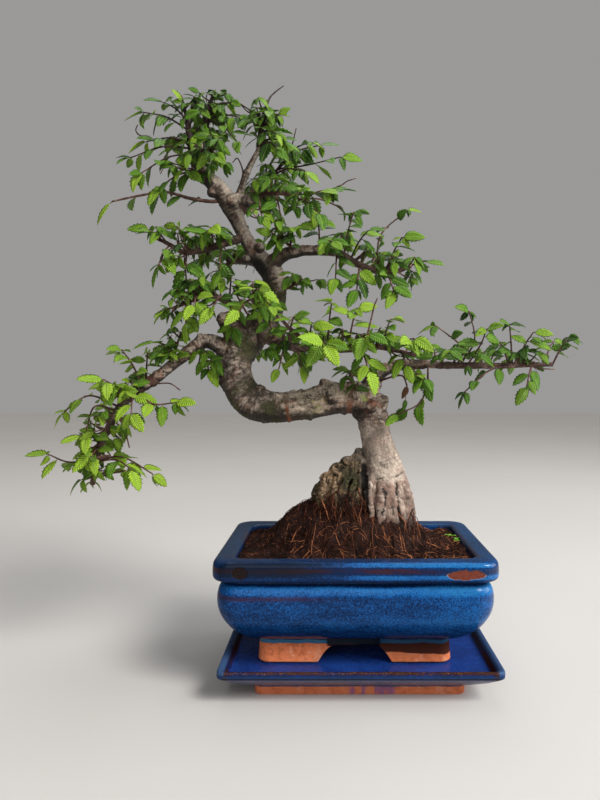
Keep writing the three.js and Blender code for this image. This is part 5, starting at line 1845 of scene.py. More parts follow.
    def add_crumbs(self, skin: Skin, random: np.random.Generator) -> None:
        """Adds crumbs of bark and peat: eight-sided lumps, squeezed and turned at random.

        Args:
            skin: the mesh to add to.
            random: the source of random numbers.
        """
        count = detail(self.crumbs, self.crumbs // 8)
        where = self.scatter(random, count, 2.0)
        size = random.gamma(2.5, 0.3, (count, 1, 1)).clip(0.3, 2.0)
        corners = [(1, 0, 0), (0, 1, 0), (-1, 0, 0), (0, -1, 0), (0, 0, 1), (0, 0, -1)]
        lumps = np.array(corners, float) * random.uniform(0.5, 1.3, (count, 6, 1)) * size
        spin = random.uniform(0, np.pi, (count, 1))
        x = lumps[..., 0] * np.cos(spin) - lumps[..., 1] * np.sin(spin) + where[:, :1]
        y = lumps[..., 0] * np.sin(spin) + lumps[..., 1] * np.cos(spin) + where[:, 1:]
        z = lumps[..., 2] * 0.7 + self.ground(where[:, 0], where[:, 1])[:, None] + 0.2
        points = np.stack([x, y, z], axis=-1).reshape(-1, 3)
        quarter = np.arange(4)
        after = (quarter + 1) % 4
        up = np.stack([np.full(4, 4), quarter, after], axis=-1)
        down = np.stack([np.full(4, 5), after, quarter], axis=-1)
        one = np.concatenate([up, down])
        faces = (one[None] + (np.arange(count) * 6)[:, None, None]).reshape(-1, 3)
        tone = np.repeat(random.uniform(0.0, 0.5, count), 6)
        skin.add(points, [faces], 1, tone=tone)

    def add_seedlings(self, skin: Skin) -> None:
        """Adds the green seedlings by the right rim: a bent stalk each, with two spoon leaves.

        A leaf is a tube drawn flat: its width swells and closes along a half wave, and it bows
        down towards its tip.

        Args:
            skin: the mesh to add to.
        """
        random = np.random.default_rng(19)
        share = np.linspace(0.0, 1.0, 7)[:, None, None]
        turn = (np.arange(8) / 8 * 2 * np.pi)[None, :, None]
        for x, y in self.seedlings:
            foot = np.array([x, y, float(self.ground(np.array([x]), np.array([y]))[0])])
            growth = (random.normal(0, 0.8), random.normal(-0.5, 0.6), random.uniform(1.6, 3.0))
            top = foot + growth
            stalk = np.array([(*foot, 0.3), (*((foot + top) / 2 + 0.2), 0.26), (*top, 0.22)])
            skin.add_tube(tube_rings(stalk, 6, np.linspace(0, 2, 5)), 2, tone=0.8)
            heading = random.uniform(0, np.pi)
            for side in (0.0, np.pi):
                ahead = np.array([np.cos(heading + side), np.sin(heading + side), 0.35])
                across = np.array([-np.sin(heading + side), np.cos(heading + side), 0.0])
                length = random.uniform(2.2, 3.2)
                width = 0.36 * length * np.sin(np.pi * (0.05 + 0.92 * share)) ** 0.8
                bow = -0.3 * length * share**2
                edge = top + ahead * length * share + across * width * np.cos(turn)
                rings = edge + UP * (bow + 0.1 * np.sin(turn))
                skin.add_tube(rings, 2, tone=0.35 + 0.4 * share[:, 0, 0])


# Girth of the trunk against its path, by the place along it: it is drawn in between its knots
TRUNK_GIRTH: Path = (
    (0, 1), (12.5, 1), (14, 0.96), (15.2, 1), (16.6, 0.92), (17.4, 0.8), (18.4, 0.76), (18.8, 0.9),
    (19.2, 1), (20, 0.88), (22, 0.8),
)
# Girth of each limb against its path, near its root and at its tip
LIMB_GIRTHS: Path = ((1, 0.84), (1, 0.84), (1, 0.84), (1, 0.84), (1, 0.84), (0.62, 0.56))
# Clefts down the front of the trunk's foot: x at a height of 135, and how much x leans by height
FOOT_FURROWS: Path = ((22.5, 0.03), (33.5, -0.16))
# Stubs and knots that stand out of the wood: their middles and radii
KNOTS: tuple[tuple[Point, float], ...] = (
    ((-21, -7, 219), 6.5), ((-15, -8, 218), 6), ((-46, -9, 212.5), 5), ((-17.6, -15, 211.5), 6),
    ((-31, -16, 207), 5), ((2, -13, 213), 6), ((20, -4, 207), 7.5), ((13, -11, 204), 5.5),
    ((-90, -12, 228), 6), ((-72, -13, 216), 5.5), ((-153, -19, 224), 4.9),
    ((-157, -21, 221.5), 4.2), ((-149, -20, 228.5), 4), ((56, -9, 237.5), 3.4),
    ((-28, -6, 326), 4.3), ((-82, -4, 256), 7.5), ((-74, -1, 268), 6), ((-60, 3, 283), 5),
    ((-67, 4, 311), 6.5), ((-94, -6, 364), 6.5), ((-110, -8, 379), 4.2), ((-110, -6, 371), 4.4),
    ((-83, -6, 364), 5), ((-85, -1, 319.5), 3.6), ((-73, -4, 329), 4.2), ((-13, -8, 154), 7),
    ((-4, -6, 158.5), 7.5), ((-20, -10, 147), 7), ((4.5, -3, 167), 4.6), ((2.5, -4, 162), 6),
    ((-101, -9, 272), 5.5), ((-118, -8, 257), 4),
)
# Warts that the photo shows on the level trunk: their middles and sizes
SCARS: tuple[tuple[Point, float], ...] = (
    ((-33.5, -12, 196), 2.4), ((-28.7, -12, 198), 2), ((-23, -12, 199.5), 1.8),
    ((-49.5, -14, 194), 2.2), ((-17.6, -21, 211), 3.2), ((-8, -20, 204), 2.6),
    ((8.4, -16, 205), 3), ((15, -14, 207), 3), ((-60, -20, 213), 3.4),
)


def knot_rings(middle: Array, radius: float) -> Array:
    """Rings of a small ball, from its lower pole to its upper one."""
    rise = np.linspace(-0.46, 0.46, 7) * np.pi
    angle = np.arange(12) / 12 * 2 * np.pi
    x = np.cos(rise)[:, None] * np.cos(angle)
    y = np.cos(rise)[:, None] * np.sin(angle)
    z = np.broadcast_to(np.sin(rise)[:, None], x.shape)
    return middle + radius * np.stack([x, y, z], axis=-1)


def nearest(points: Array, places: Array, radii: Array) -> Array:
    """For each point, the sample whose surface is nearest: distance less the wood's radius."""
    found = np.empty(len(points), dtype=int)
    for start in range(0, len(points), 4000):
        part = points[start : start + 4000]
        away = distances(part, places) - radii[None]
        found[start : start + 4000] = away.argmin(axis=1)
    return found


@dataclass
class ElmTree:
    """The old wood: trunk, limbs and roots, skinned as one and covered in bark."""

    trunk_sides: int = 40
    grain: float = 0.94
    quick_grain: float = 2.4
    wart_count: int = 420

    def woods(self) -> list[Array]:
        """Every path of the old wood."""
        return [np.array(path, float) for path in (TRUNK, *LIMBS, *ROOTS, *CORDS)]

    def blank(self) -> Mesh:
        """Tubes for all the wood, melted into one skin by a voxel remesh."""
        skin = Skin()
        for number, path in enumerate(self.woods()):
            spans = len(path) - 1
            positions = np.linspace(0, spans, spans * 8 + 1)
            sides = self.trunk_sides if number == 0 else 28
            gnarl = 0.045 if number == 0 else 0.03 if number <= len(LIMBS) else 0.08
            angle = np.arange(sides) / sides * 2 * np.pi
            t = positions[:, None]
            lumps = np.sin(3 * angle + 1.7 * t) + 0.6 * np.sin(2 * angle - 2.9 * t)
            girth = 1.0
            if number == 0:
                girth = np.interp(t, *zip(*TRUNK_GIRTH))
            elif number <= len(LIMBS):
                girth = np.interp(t / spans, (0.2, 1.0), LIMB_GIRTHS[number - 1])
            skin.add_tube(tube_rings(path, sides, positions, (1 + gnarl * lumps) * girth))
        for middle, radius in KNOTS:
            skin.add_tube(knot_rings(np.array(middle), radius))
        piece = show("wood_blank", skin.mesh("wood_blank"))
        melt = piece.modifiers.new("melt", "REMESH")
        melt.mode = "VOXEL"
        melt.voxel_size = detail(self.grain, self.quick_grain) * MM
        soften = piece.modifiers.new("soften", "SMOOTH")
        soften.factor = 0.5
        soften.iterations = 4
        bpy.context.view_layer.update()
        return finished(piece)

    def samples(self) -> tuple[Array, Array, Array, Array]:
        """Close samples of all centre lines.

        Returns:
            Their places, unit directions, radii, and millimetres counted along the wood.
        """
        places, directions, radii, counts = [], [], [], []
        for number, path in enumerate(self.woods()):
            spans = len(path) - 1
            positions = np.linspace(0, spans, spans * 10 + 1)
            centre = spline(path, positions)
            step = np.linalg.norm(np.diff(centre[:, :3], axis=0), axis=1)
            places.append(centre[:, :3])
            directions.append(slope(path, positions))
            radii.append(centre[:, 3])
            counts.append(np.concatenate([[0.0], step.cumsum()]) + 400 * number)
        return tuple(np.concatenate(part) for part in (places, directions, radii, counts))

    def build(self, finish: Material) -> Object:
        """Builds the wood and raises its bark.

        The bark is pushed out along each point's normal by noise stretched along the wood, cut
        by furrows where another noise crosses zero, and ringed faintly round the limbs. Warts
        are added as small bells round scattered points, and the smooth bark of the trunk ends
        in a ledge over its foot.

        Args:
            finish: the bark.

        Returns:
            The piece.
        """
        data = self.blank()
        points = read_rows(data.vertices, "co") / MM
        normals = read_rows(data.vertex_normals, "vector")
        x, y, z = points.T
        places, directions, radii, counts = self.samples()
        near = nearest(points, places, radii)
        direction = directions[near]
        along = counts[near] + np.sum((points - places[near]) * direction, axis=1)
        stretched = points - direction * (np.sum(points * direction, axis=1) * 0.75)[:, None]
        plates = layered_noise(stretched / 7.0, 23, 4)
        cracks = np.abs(layered_noise(stretched / 4.6 + 40, 31, 3))
        groove = np.clip(1 - cracks / 0.15, 0, 1) ** 1.5
        rings = np.sin(along / 3.1 * 2 * np.pi + 2.5 * lattice_noise(points / 14, 5))
        ledge_height = 149.5 + 0.12 * (x - 20) + 1.6 * lattice_noise(points / 6, 9)
        foot = climb(z, ledge_height, -6)
        broken = np.clip(0.6 + 0.9 * lattice_noise(points / 5, 13), 0, 1)
        ledge = np.exp(-(((z - ledge_height) / 0.8) ** 2)) * broken * climb(x, 10, 4)
        clump = climb(x, 9, -3) * climb(z, 172, -6)
        rooty = np.maximum(foot, clump)
        ribs = np.abs(layered_noise(points * (1.0, 1.0, 0.25) / 5.0 + 90, 47, 2))
        furrow = np.clip(1 - ribs / 0.17, 0, 1) * rooty * np.maximum(clump, 0.2)
        front = climb(y, 7, -6)
        cleft = self.clefts(points, foot, front)
        knuckle = ((x - 20) / 11) ** 2 + ((z - 137) / 12) ** 2
        pitted = layered_noise(points * (1.0, 1.0, 0.6) / 3.4 + 20, 83, 2)
        swell = 0.5 * foot + 1.5 * np.exp(-knuckle) * front + 0.8 * foot * pitted
        knobs = 1.3 * lattice_noise(points / 10, 71)
        knobs = knobs + 1.5 * lattice_noise(points * (1.0, 1.0, 0.3) / 4.2, 73)
        lift = 0.6 * plates * (0.7 + 0.9 * rooty) - groove * (0.4 + 0.4 * rooty)
        lift = lift + 0.14 * rings * (1 - rooty) + clump * knobs
        lift = lift * np.clip(radii[near] / 12, 0.35, 1.2) + self.warts(points) - 0.7 * ledge
        lift = lift - (1.5 + 0.6 * clump) * furrow + swell - 2.2 * cleft
        moved = points + normals * lift[:, None]
        data.vertices.foreach_set("co", (moved * MM).astype(np.float32).ravel())
        # Painted shade: how dark the bark is drawn in its grooves, furrows and clefts and under
        # the ledge, less on its raised plates
        hollow = groove * (0.35 + 0.2 * rooty) - 0.25 * plates + 0.6 * ledge + 0.8 * furrow + cleft
        grain = data.attributes.new("grain", "FLOAT_VECTOR", "POINT")
        grain.data.foreach_set("vector", (stretched * MM).astype(np.float32).ravel())
        values = {"along": along * MM, "age": climb(z, 235, 60), "foot": foot}
        hold(data, values | {"hollow": np.clip(hollow, 0, 1)})
        return place("bark_of_old_wood", data, [finish], Slot.BARK, ["tree"])

    @staticmethod
    def clefts(points: Array, foot: Array, front: Array) -> Array:
        """Depth of the clefts beside and down the trunk's foot, on its front side.

        Args:
            points: the surface, in millimetres.
            foot: 1 on the trunk's foot.
            front: 1 on the front side.

        Returns:
            The depth at each point, from 0 to 1.
        """
        x, _, z = points.T
        deepest = np.exp(-(((x - 8.3 - 0.03 * (160 - z)) / 2.3) ** 2)) * climb(z, 165, -8) * front
        sway = 1.6 * lattice_noise(points / 6, 61)
        depth = np.clip(0.45 + 0.9 * lattice_noise(points / 5, 67), 0.1, 0.8)
        for foot_x, slant in FOOT_FURROWS:
            away = x - foot_x - slant * (z - 135) - sway
            deepest = np.maximum(deepest, depth * np.exp(-((away / 1.5) ** 2)) * foot * front)
        return deepest

    def warts(self, points: Array) -> Array:
        """Height of small warts and bud scars, most of them on the level part and the elbows.

        Args:
            points: the surface, in millimetres.

        Returns:
            The height at each point.
        """
        random = np.random.default_rng(8)
        chosen = random.choice(len(points), self.wart_count, replace=False)
        keep = (points[chosen, 2] > 165) & (random.random(self.wart_count) < 0.6)
        centres = points[chosen[keep]]
        sizes = random.uniform(0.9, 3.2, len(centres))
        heights = sizes * random.uniform(0.25, 0.6, len(centres))
        total = np.zeros(len(points))
        centres = np.vstack([centres, [middle for middle, _ in SCARS]])
        sizes = np.append(sizes, [size for _, size in SCARS])
        heights = np.append(heights, [0.75 * size for _, size in SCARS])
        for centre, size, height in zip(centres, sizes, heights):
            square = np.sum((points - centre) ** 2, axis=1) / size**2
            total += height * np.exp(-square)
        level = np.exp(-(((points[:, 2] - 209) / 22) ** 2))
        return np.minimum(total, 2.6) * (0.55 + 0.75 * level)


# Leaves and twigs

BARE_STEMS = ("stem_withered", "stem_long")
# How far apart spurs stand on a stem, against the usual, and how thick its main path is drawn
SPUR_GAPS = {
    "stem_right": 2.0, "stem_right_inner": 2.0, "stem_lower_left": 0.66,
    "stem_crown_top": 0.66, "stem_trunk_top": 0.66, "stem_crown_right": 0.66,
}
SLIM_STEMS = {
    "stem_right": 0.68, "stem_lower_left": 0.86, "stem_upper_right": 0.84,
    "stem_crown_side": 0.62, "stem_crown_back": 0.7,
}
# Stems that carry no spurs beyond this share of their path
BARE_TIPS = {"stem_crown_right": 0.42, "stem_crown_back": 0.8}

# Bare dry twigs: the stem each belongs to, its radius, how far it comes forward at each point,
# and its points as x and z
SNAGS: tuple[tuple[str, float, float, Path], ...] = (
    ("stem_trunk_top", 0.7, 1.5, ((-133.7, 445.2), (-137.5, 449.6))),
    (
        "stem_trunk_top", 0.8, 1.5,
        ((-158.2, 411.9), (-165.2, 413.8), (-167.7, 416.9), (-165.8, 420.7)),
    ),
    (
        "stem_trunk_top", 0.8, 1,
        ((-119.9, 384.8), (-133.7, 389.2), (-142.5, 389.9), (-147.6, 381.7)),
    ),
    ("stem_crown_right", 1.5, 0, ((-75.2, 430), (-75.8, 437))),
    ("stem_crown_right", 0.8, 0.5, ((-76, 434), (-84.6, 439.6), (-89, 444), (-93.4, 445.9))),
    ("stem_crown_side", 0.9, 1, ((-85.9, 384.8), (-87.1, 391.1), (-90.3, 397.4), (-94, 393.6))),
    ("stem_crown_side", 0.8, 1, ((-83.4, 354.6), (-75.8, 350.8), (-73.3, 353.4))),
    ("stem_crown_side", 0.7, 1, ((-77, 351.5), (-70.2, 343.3))),
    ("stem_crown_side", 0.7, 1.5, ((-9.7, 371), (-5.3, 373.5), (1.6, 375.4))),
    ("stem_middle", 0.8, 1.5, ((10.6, 267.1), (12.3, 274.9), (14.5, 280.4))),
    ("stem_upper_left", 0.8, 1.5, ((-133.7, 329.4), (-147.5, 320.6))),
    ("stem_upper_left", 0.7, 1.5, ((-129.9, 329.4), (-129.9, 310.6))),
    ("stem_trunk_twig", 1.5, 3, ((-80.8, 272.8), (-88.4, 280.4), (-94.5, 291), (-100.7, 303))),
    ("stem_middle", 2.2, 3.5, ((-37.7, 254.7), (-46.1, 261), (-52.6, 267.4), (-61, 274.8))),
    ("stem_lower_left", 0.8, 1.5, ((-150, 222), (-139, 222), (-131, 217))),
    ("stem_lower_left", 2.2, 1, ((-190, 167), (-184, 168.5), (-177, 169.5))),
    ("stem_lower_left", 1, 1, ((-195.3, 150.4), (-186.1, 152.7), (-175.8, 155))),
    ("stem_right", 0.8, 1, ((140, 235), (146, 233.6), (156, 233.1))),
)

# Snags that spring from the wood behind this y, not from a stem in front of it
FAR_SNAGS = {"stem_trunk_twig": -45.0}

# Lines from one x and z to another that no tuft hides, and how far off it keeps: the withered
# leaf, the arm, two young shoots and the elbow
KEPT_CLEAR: tuple[tuple[Point, Point, float], ...] = (
    ((40, 203), (40, 219), 7), ((25, 233.5), (60, 238), 3.4), ((60, 238), (96, 238), 1.2),
    ((-97.4, 298.4), (-80.5, 271.8), 1.6), ((-61, 274.8), (-38, 255), 1.8),
    ((10, 216), (18, 214), 9),
)

# The withered leaf and the green ones by it: where each hangs from the bare twig, its base, its
# tip, its half width and which leaf finish
HANGING: tuple[tuple[Point, Point, Point, float, int], ...] = (
    ((41, -14, 221), (41, -14, 221), (38.2, -16, 209.6), 2.7, 1),
    ((41, -14, 221), (39.6, -15, 210.5), (38.2, -17.5, 200.5), 2.3, 2),
    ((50, -13, 231), (50, -13, 227), (53.2, -14.5, 221.5), 1.9, 1),
)


@dataclass(frozen=True)
class Twig:
    """A stem's main path or one of its shoots."""

    stem: str
    path: Array
    leaves: int = 0
    length: float = 0
    is_shoot: bool = True


@dataclass(frozen=True)
class Pose:
    """How a leaf stands: its base, where its rib points, where it faces, and its sizes."""

    base: Array
    rib: Array
    face: Array
    reach: float
    half: float
    arch: float

    def marks(self) -> Array:
        """Six points that stand for the leaf where its distance to others is measured."""
        u = np.array([0.25, 0.5, 0.75, 0.98, 0.45, 0.45])[:, None]
        v = np.array([0.0, 0.0, 0.0, 0.0, 0.65, -0.65])[:, None]
        height = FOLD * np.abs(v) * self.half - self.arch * u * u
        level = self.base + self.rib * u * self.reach
        return level + np.cross(self.rib, self.face) * v * self.half + self.face * height


@dataclass(frozen=True)
class Leaf:
    """A placed leaf: where it leaves the twig, its place from the tip, and how it stands."""

    owner: str
    root: Array
    pose: Pose
    from_tip: int
    finish: int = 1


@dataclass
class Foliage:
    """Places every leaf of the tree by the rule that the solid part follows.

    Each twig has its own run of numbers. A leaf takes seven of them for one way to stand, and
    tries up to nine ways until it is clear of the wood and of the leaves placed before it.
    """

    leaf_width: float = 0.56
    tries: int = 9
    spur_pitch: float = 3.3
    clear_of_own: float = 2.6
    clear_of_others: float = 5.0
    clear_of_wood: float = 2.4
    clear_of_twig: float = 0.8
    tuft_clear_of_leaves: float = 1.7
    tuft_clear_of_wood: float = 0.5
    box_margin: float = 0.6
    twigs: list[Twig] = field(default_factory=list)
    leaves: list[Leaf] = field(default_factory=list)

    def draws(self, seed: int) -> Iterable[float]:
        """An endless run of numbers from 0 to 1: each is the last times a constant, plus one."""
        state = seed
        while True:
            state = (state * 1664525 + 1013904223) % 2**32
            yield state / 2**32

    def shoot_path(self, stem: Stem, shoot: Shoot) -> Array:
        """The full path of a shoot, from inside its stem to its tip."""
        root = spline(np.array(stem.path, float), np.array([shoot.at]))[0, :3]
        route = [root, *(np.array(p, float) for p in shoot.points)]
        if len(shoot.points) == 1:
            middle = (root + route[1]) / 2
            middle[2] += 0.1 * np.linalg.norm(route[1] - root)
            route.insert(1, middle)
        last = len(route) - 1
        radii = [1.1 + (0.6 - 1.1) * k / last for k in range(last + 1)]
        return np.column_stack([np.array(route), radii])

    def wood_samples(self, path: Array) -> Array:
        """Samples of a wooden path, at most four millimetres apart."""
        positions = []
        for span in range(len(path) - 1):
            reach = np.linalg.norm(path[span + 1, :3] - path[span, :3])
            steps = math.ceil(reach / 4)
            positions += [span + k / steps for k in range(steps)]
        return np.vstack([spline(path, np.array(positions)), path[-1:]])

    def chord(self, path: Array, t: float) -> Array:
        """A point of the straight lines between a path's points."""
        span = min(int(t), len(path) - 2)
        return path[span, :3] + (path[span + 1, :3] - path[span, :3]) * (t - span)

    def pose(
        self, base: Array, tangent: Array, side: int, last: bool, length: float,
        draw: Iterable[float],
    ) -> Pose:
        """One way for a leaf to stand on its twig.

        Args:
            base: where it leaves the twig.
            tangent: the twig's direction there.
            side: 1 or -1, the side of the twig.
            last: whether it is the leaf at the tip.
            length: the usual length of the twig's leaves.
            draw: the twig's run of numbers.

        Returns:
            The leaf's directions and sizes.
        """
        spin = 2 * next(draw) - 1
        spread, droop, size = next(draw), next(draw), next(draw)
        tilt = np.array([2 * next(draw) - 1 for _ in range(3)])
        across = np.cross(tangent, UP)
        if np.linalg.norm(across) < 0.3:
            across = np.cross(tangent, [1.0, 0.0, 0.0])
        across = across / np.linalg.norm(across)
        over = np.cross(across, tangent)
        turn = side * np.pi / 2 + spin
        angle = 0.15 + 0.4 * spread if last else 0.8 + 0.5 * spread
        sideways = over * np.cos(turn) + across * np.sin(turn)
        rib = tangent * np.cos(angle) + sideways * np.sin(angle)
        rib[2] -= 0.15 + 0.55 * droop
        rib = rib / np.linalg.norm(rib)
        face = UP * 0.6 + np.array([-0.25, -0.95, 0.1]) * 0.55 + tilt * 0.45
        face = face - rib * face.dot(rib)
        face = face / np.linalg.norm(face)
        reach = length * (0.8 + 0.35 * size)
        half, arch = reach * self.leaf_width / 2, reach * (0.1 + 0.12 * droop)
        return Pose(base, rib, face, reach, half, arch)

    def grow(self) -> None:
        """Places every twig and every leaf in one fixed order."""
        wood = [self.wood_samples(np.array(path, float)) for path in (TRUNK, *LIMBS)]
        owners = ["tree"] * sum(map(len, wood))
        for stem in STEMS:
            main = Twig(stem.name, np.array(stem.path, float), stem.leaves, stem.length, False)
            shoots = [
                Twig(stem.name, self.shoot_path(stem, shoot), shoot.leaves, shoot.length)
                for shoot in stem.shoots
            ]
            for twig in (main, *shoots):
                self.twigs.append(twig)
                wood.append(self.wood_samples(twig.path))
                owners += [stem.name] * len(wood[-1])
        all_wood, owner_of = np.vstack(wood), np.array(owners)
        marks = self.set_leaves(all_wood, owner_of)
        self.leaves = [leaf for leaf in self.leaves if leaf.owner != "stem_withered"]
        self.grow_tufts(all_wood, marks)
        self.grow_snags(all_wood)
        self.hang_leaves()
        log.info("placed %d leaves on %d twigs", len(self.leaves), len(self.twigs))

    def set_leaves(self, wood: Array, owner_of: Array) -> Array:
        """Places the leaves that the solid part has too.

        Args:
            wood: samples of the wood as x, y, z and radius.
            owner_of: the name of the stem that each sample belongs to.

        Returns:
            The marks of all leaves placed.
        """
        placed, placed_owner = np.empty((0, 3)), np.empty(0, dtype=owner_of.dtype)
        for index, twig in enumerate(self.twigs):
            draw = self.draws(1000 + 37 * index)
            spans = len(twig.path) - 1
            own = owner_of == twig.stem
            wood_gap = wood[:, 3] + np.where(own, self.clear_of_twig, self.clear_of_wood)
            for k in range(twig.leaves):
                share = k / (twig.leaves - 1) if twig.leaves > 1 else 1.0
                t = np.array([spans * (0.3 + 0.7 * share)])
                base = spline(twig.path, t)[0, :3]
                tangent = slope(twig.path, t)[0]
                own_leaf = placed_owner == twig.stem
                leaf_gap = np.where(own_leaf, self.clear_of_own, self.clear_of_others)
                for attempt in range(self.tries):
                    side = 1 if (k + attempt) % 2 else -1
                    last = k == twig.leaves - 1
                    pose = self.pose(base, tangent, side, last, twig.length, draw)
                    marks = pose.marks()
                    if (distances(marks, placed) < leaf_gap).any():
                        continue
                    near = distances(marks, wood[:, :3]) < wood_gap
                    near[0, own] = False
                    if near.any():
                        continue
                    root = self.chord(twig.path, float(t[0]))
                    self.leaves.append(Leaf(twig.stem, root, pose, twig.leaves - 1 - k))
                    placed = np.vstack([placed, marks])
                    placed_owner = np.append(placed_owner, [twig.stem] * len(marks))
                    break
        return placed

    def grow_tufts(self, wood: Array, marks: Array) -> None:
        """Adds the tufts that the solid part leaves out: short spurs, and rosettes at every tip.

        A spur leaves a stem square to it, most often upwards, and bends to the light. A rosette
        is three to six leaves spaced evenly round the tip, spread wide and drooping. A leaf is
        left out where it would touch the wood or another leaf, or leave the solid part's box.

        Args:
            wood: samples of the wood as x, y, z and radius.
            marks: points of the leaves placed so far.
        """
        random = np.random.default_rng(77)
        low, high = np.array(CAD_BOX) / MM
        leafy = [twig for twig in self.twigs if twig.stem not in BARE_STEMS]
        tips = [(twig, random.integers(2, 5), 0.8) for twig in leafy if twig.leaves]
        spurs = []
        for twig in leafy:
            if twig.is_shoot:
                continue
            reach = np.linalg.norm(np.diff(twig.path[:, :3], axis=0), axis=1).sum()
            pitch = self.spur_pitch * SPUR_GAPS.get(twig.stem, 1.0)
            spurs += [self.spur(twig, random) for _ in range(int(reach / pitch))]
        self.twigs.extend(spurs)
        tips += [(spur, random.integers(3, 7), 1.0) for spur in spurs]
        for twig, count, scale in tips:
            end = np.array([float(len(twig.path) - 1)])
            base = spline(twig.path, end)[0, :3]
            tangent = slope(twig.path, end)[0]
            aside = unit(np.cross(tangent, (0.31, 0.2, 0.93)))
            over = np.cross(aside, tangent)
            first = random.uniform(0, 2 * np.pi)
            length = (twig.length or 15.0) * scale
            for k in range(count):
                turn = first + 2 * np.pi * k / count + random.normal(0, 0.3)
                spread = random.uniform(0.75, 1.45)
                sideways = aside * np.cos(turn) + over * np.sin(turn)
                rib = tangent * np.cos(spread) + sideways * np.sin(spread)
                droop = random.uniform(0.2, 1.0)
                rib[2] -= 0.35 + 0.75 * droop
                rib = unit(rib)
                face = np.array([-0.14, -0.5, 0.75]) + random.normal(0, 0.3, 3)
                face = unit(face - rib * face.dot(rib))
                size = length * random.uniform(0.5, 0.98)
                half = size * random.uniform(0.46, 0.6) / 2
                pose = Pose(base, rib, face, size, half, size * (0.14 + 0.2 * droop))
                points = pose.marks()
                outside = (points < low + self.box_margin) | (points > high - self.box_margin)
                if outside.any() or self.hides(points):
                    continue
                if distances(points[1:], marks).min() < self.tuft_clear_of_leaves:
                    continue
                away = distances(points[1:], wood[:, :3]) - wood[:, 3]
                if away.min() < self.tuft_clear_of_wood:
                    continue
                self.leaves.append(Leaf(twig.stem, base, pose, 2 if k else 1))
                marks = np.vstack([marks, points])

    @staticmethod
    def hides(points: Array) -> bool:
        """Whether a leaf with these points hangs before one of the lines that are kept clear."""
        middle = np.array(EYE)[[0, 2]]
        nearer = -EYE[1] / (points[:, 1:2] - EYE[1])
        flat = middle + (points[:, (0, 2)] - middle) * nearer
        for start, end, gap in KEPT_CLEAR:
            span = np.subtract(end, start)
            share = np.clip((flat - start) @ span / (span @ span), 0, 1)
            away = np.linalg.norm(flat - start - share[:, None] * span, axis=1)
            if away.min() < gap:
                return True
        return False

    def grow_snags(self, wood: Array) -> None:
        """Adds the bare dry twigs, each from the wood that is nearest to its first point.

        Args:
            wood: samples of the wood as x, y, z and radius.
        """
        for owner, girth, forward, points in SNAGS:
            behind = wood[wood[:, 1] > FAR_SNAGS.get(owner, -200.0)]
            near = behind[np.linalg.norm(behind[:, (0, 2)] - points[0], axis=1).argmin()]
            route = [(*near[:3], 1.15 * girth)]
            for k, (x, z) in enumerate(points):
                route.append((x, near[1] - forward * (k + 1), z, girth * (1 - 0.15 * k)))
            self.twigs.append(Twig(owner, np.array(route)))

    def hang_leaves(self) -> None:
        """Adds the withered leaf and the green ones that hang from the bare twig."""
        for knot, base, tip, half, finish in HANGING:
            along = np.subtract(tip, base)
            reach = float(np.linalg.norm(along))
            rib = along / reach
            face = np.array([0.35, -0.93, 0.1])
            face = unit(face - rib * face.dot(rib))
            pose = Pose(np.array(base, float), rib, face, reach, half, reach * 0.1)
            self.leaves.append(Leaf("stem_withered", np.array(knot, float), pose, 9, finish))

    def spur(self, twig: Twig, random: np.random.Generator) -> Twig:
        """A short side twig at a random place on a stem.

        Args:
            twig: the stem.
            random: the source of random numbers.

        Returns:
            The spur, with no leaves of its own.
        """
        spans = len(twig.path) - 1
        t = np.array([spans * random.uniform(0.12, BARE_TIPS.get(twig.stem, 0.98))])
        base = spline(twig.path, t)[0]
        tangent = slope(twig.path, t)[0]
        leans = ((0, 0.6), (-0.15, 0.7), (0.55, 0.6))
        aim = np.array([random.normal(*lean) for lean in leans])
        aim = unit(aim - tangent * (aim.dot(tangent) - 0.35))
        length = base[3] + random.uniform(4, 13)
        middle = base[:3] + aim * length * 0.55
        tip = middle + unit(aim + UP * 0.35) * length * 0.45
        path = np.array([(*base[:3], 0.95), (*middle, 0.75), (*tip, 0.55)])
        return Twig(twig.stem, path, 0, random.uniform(13, 18))


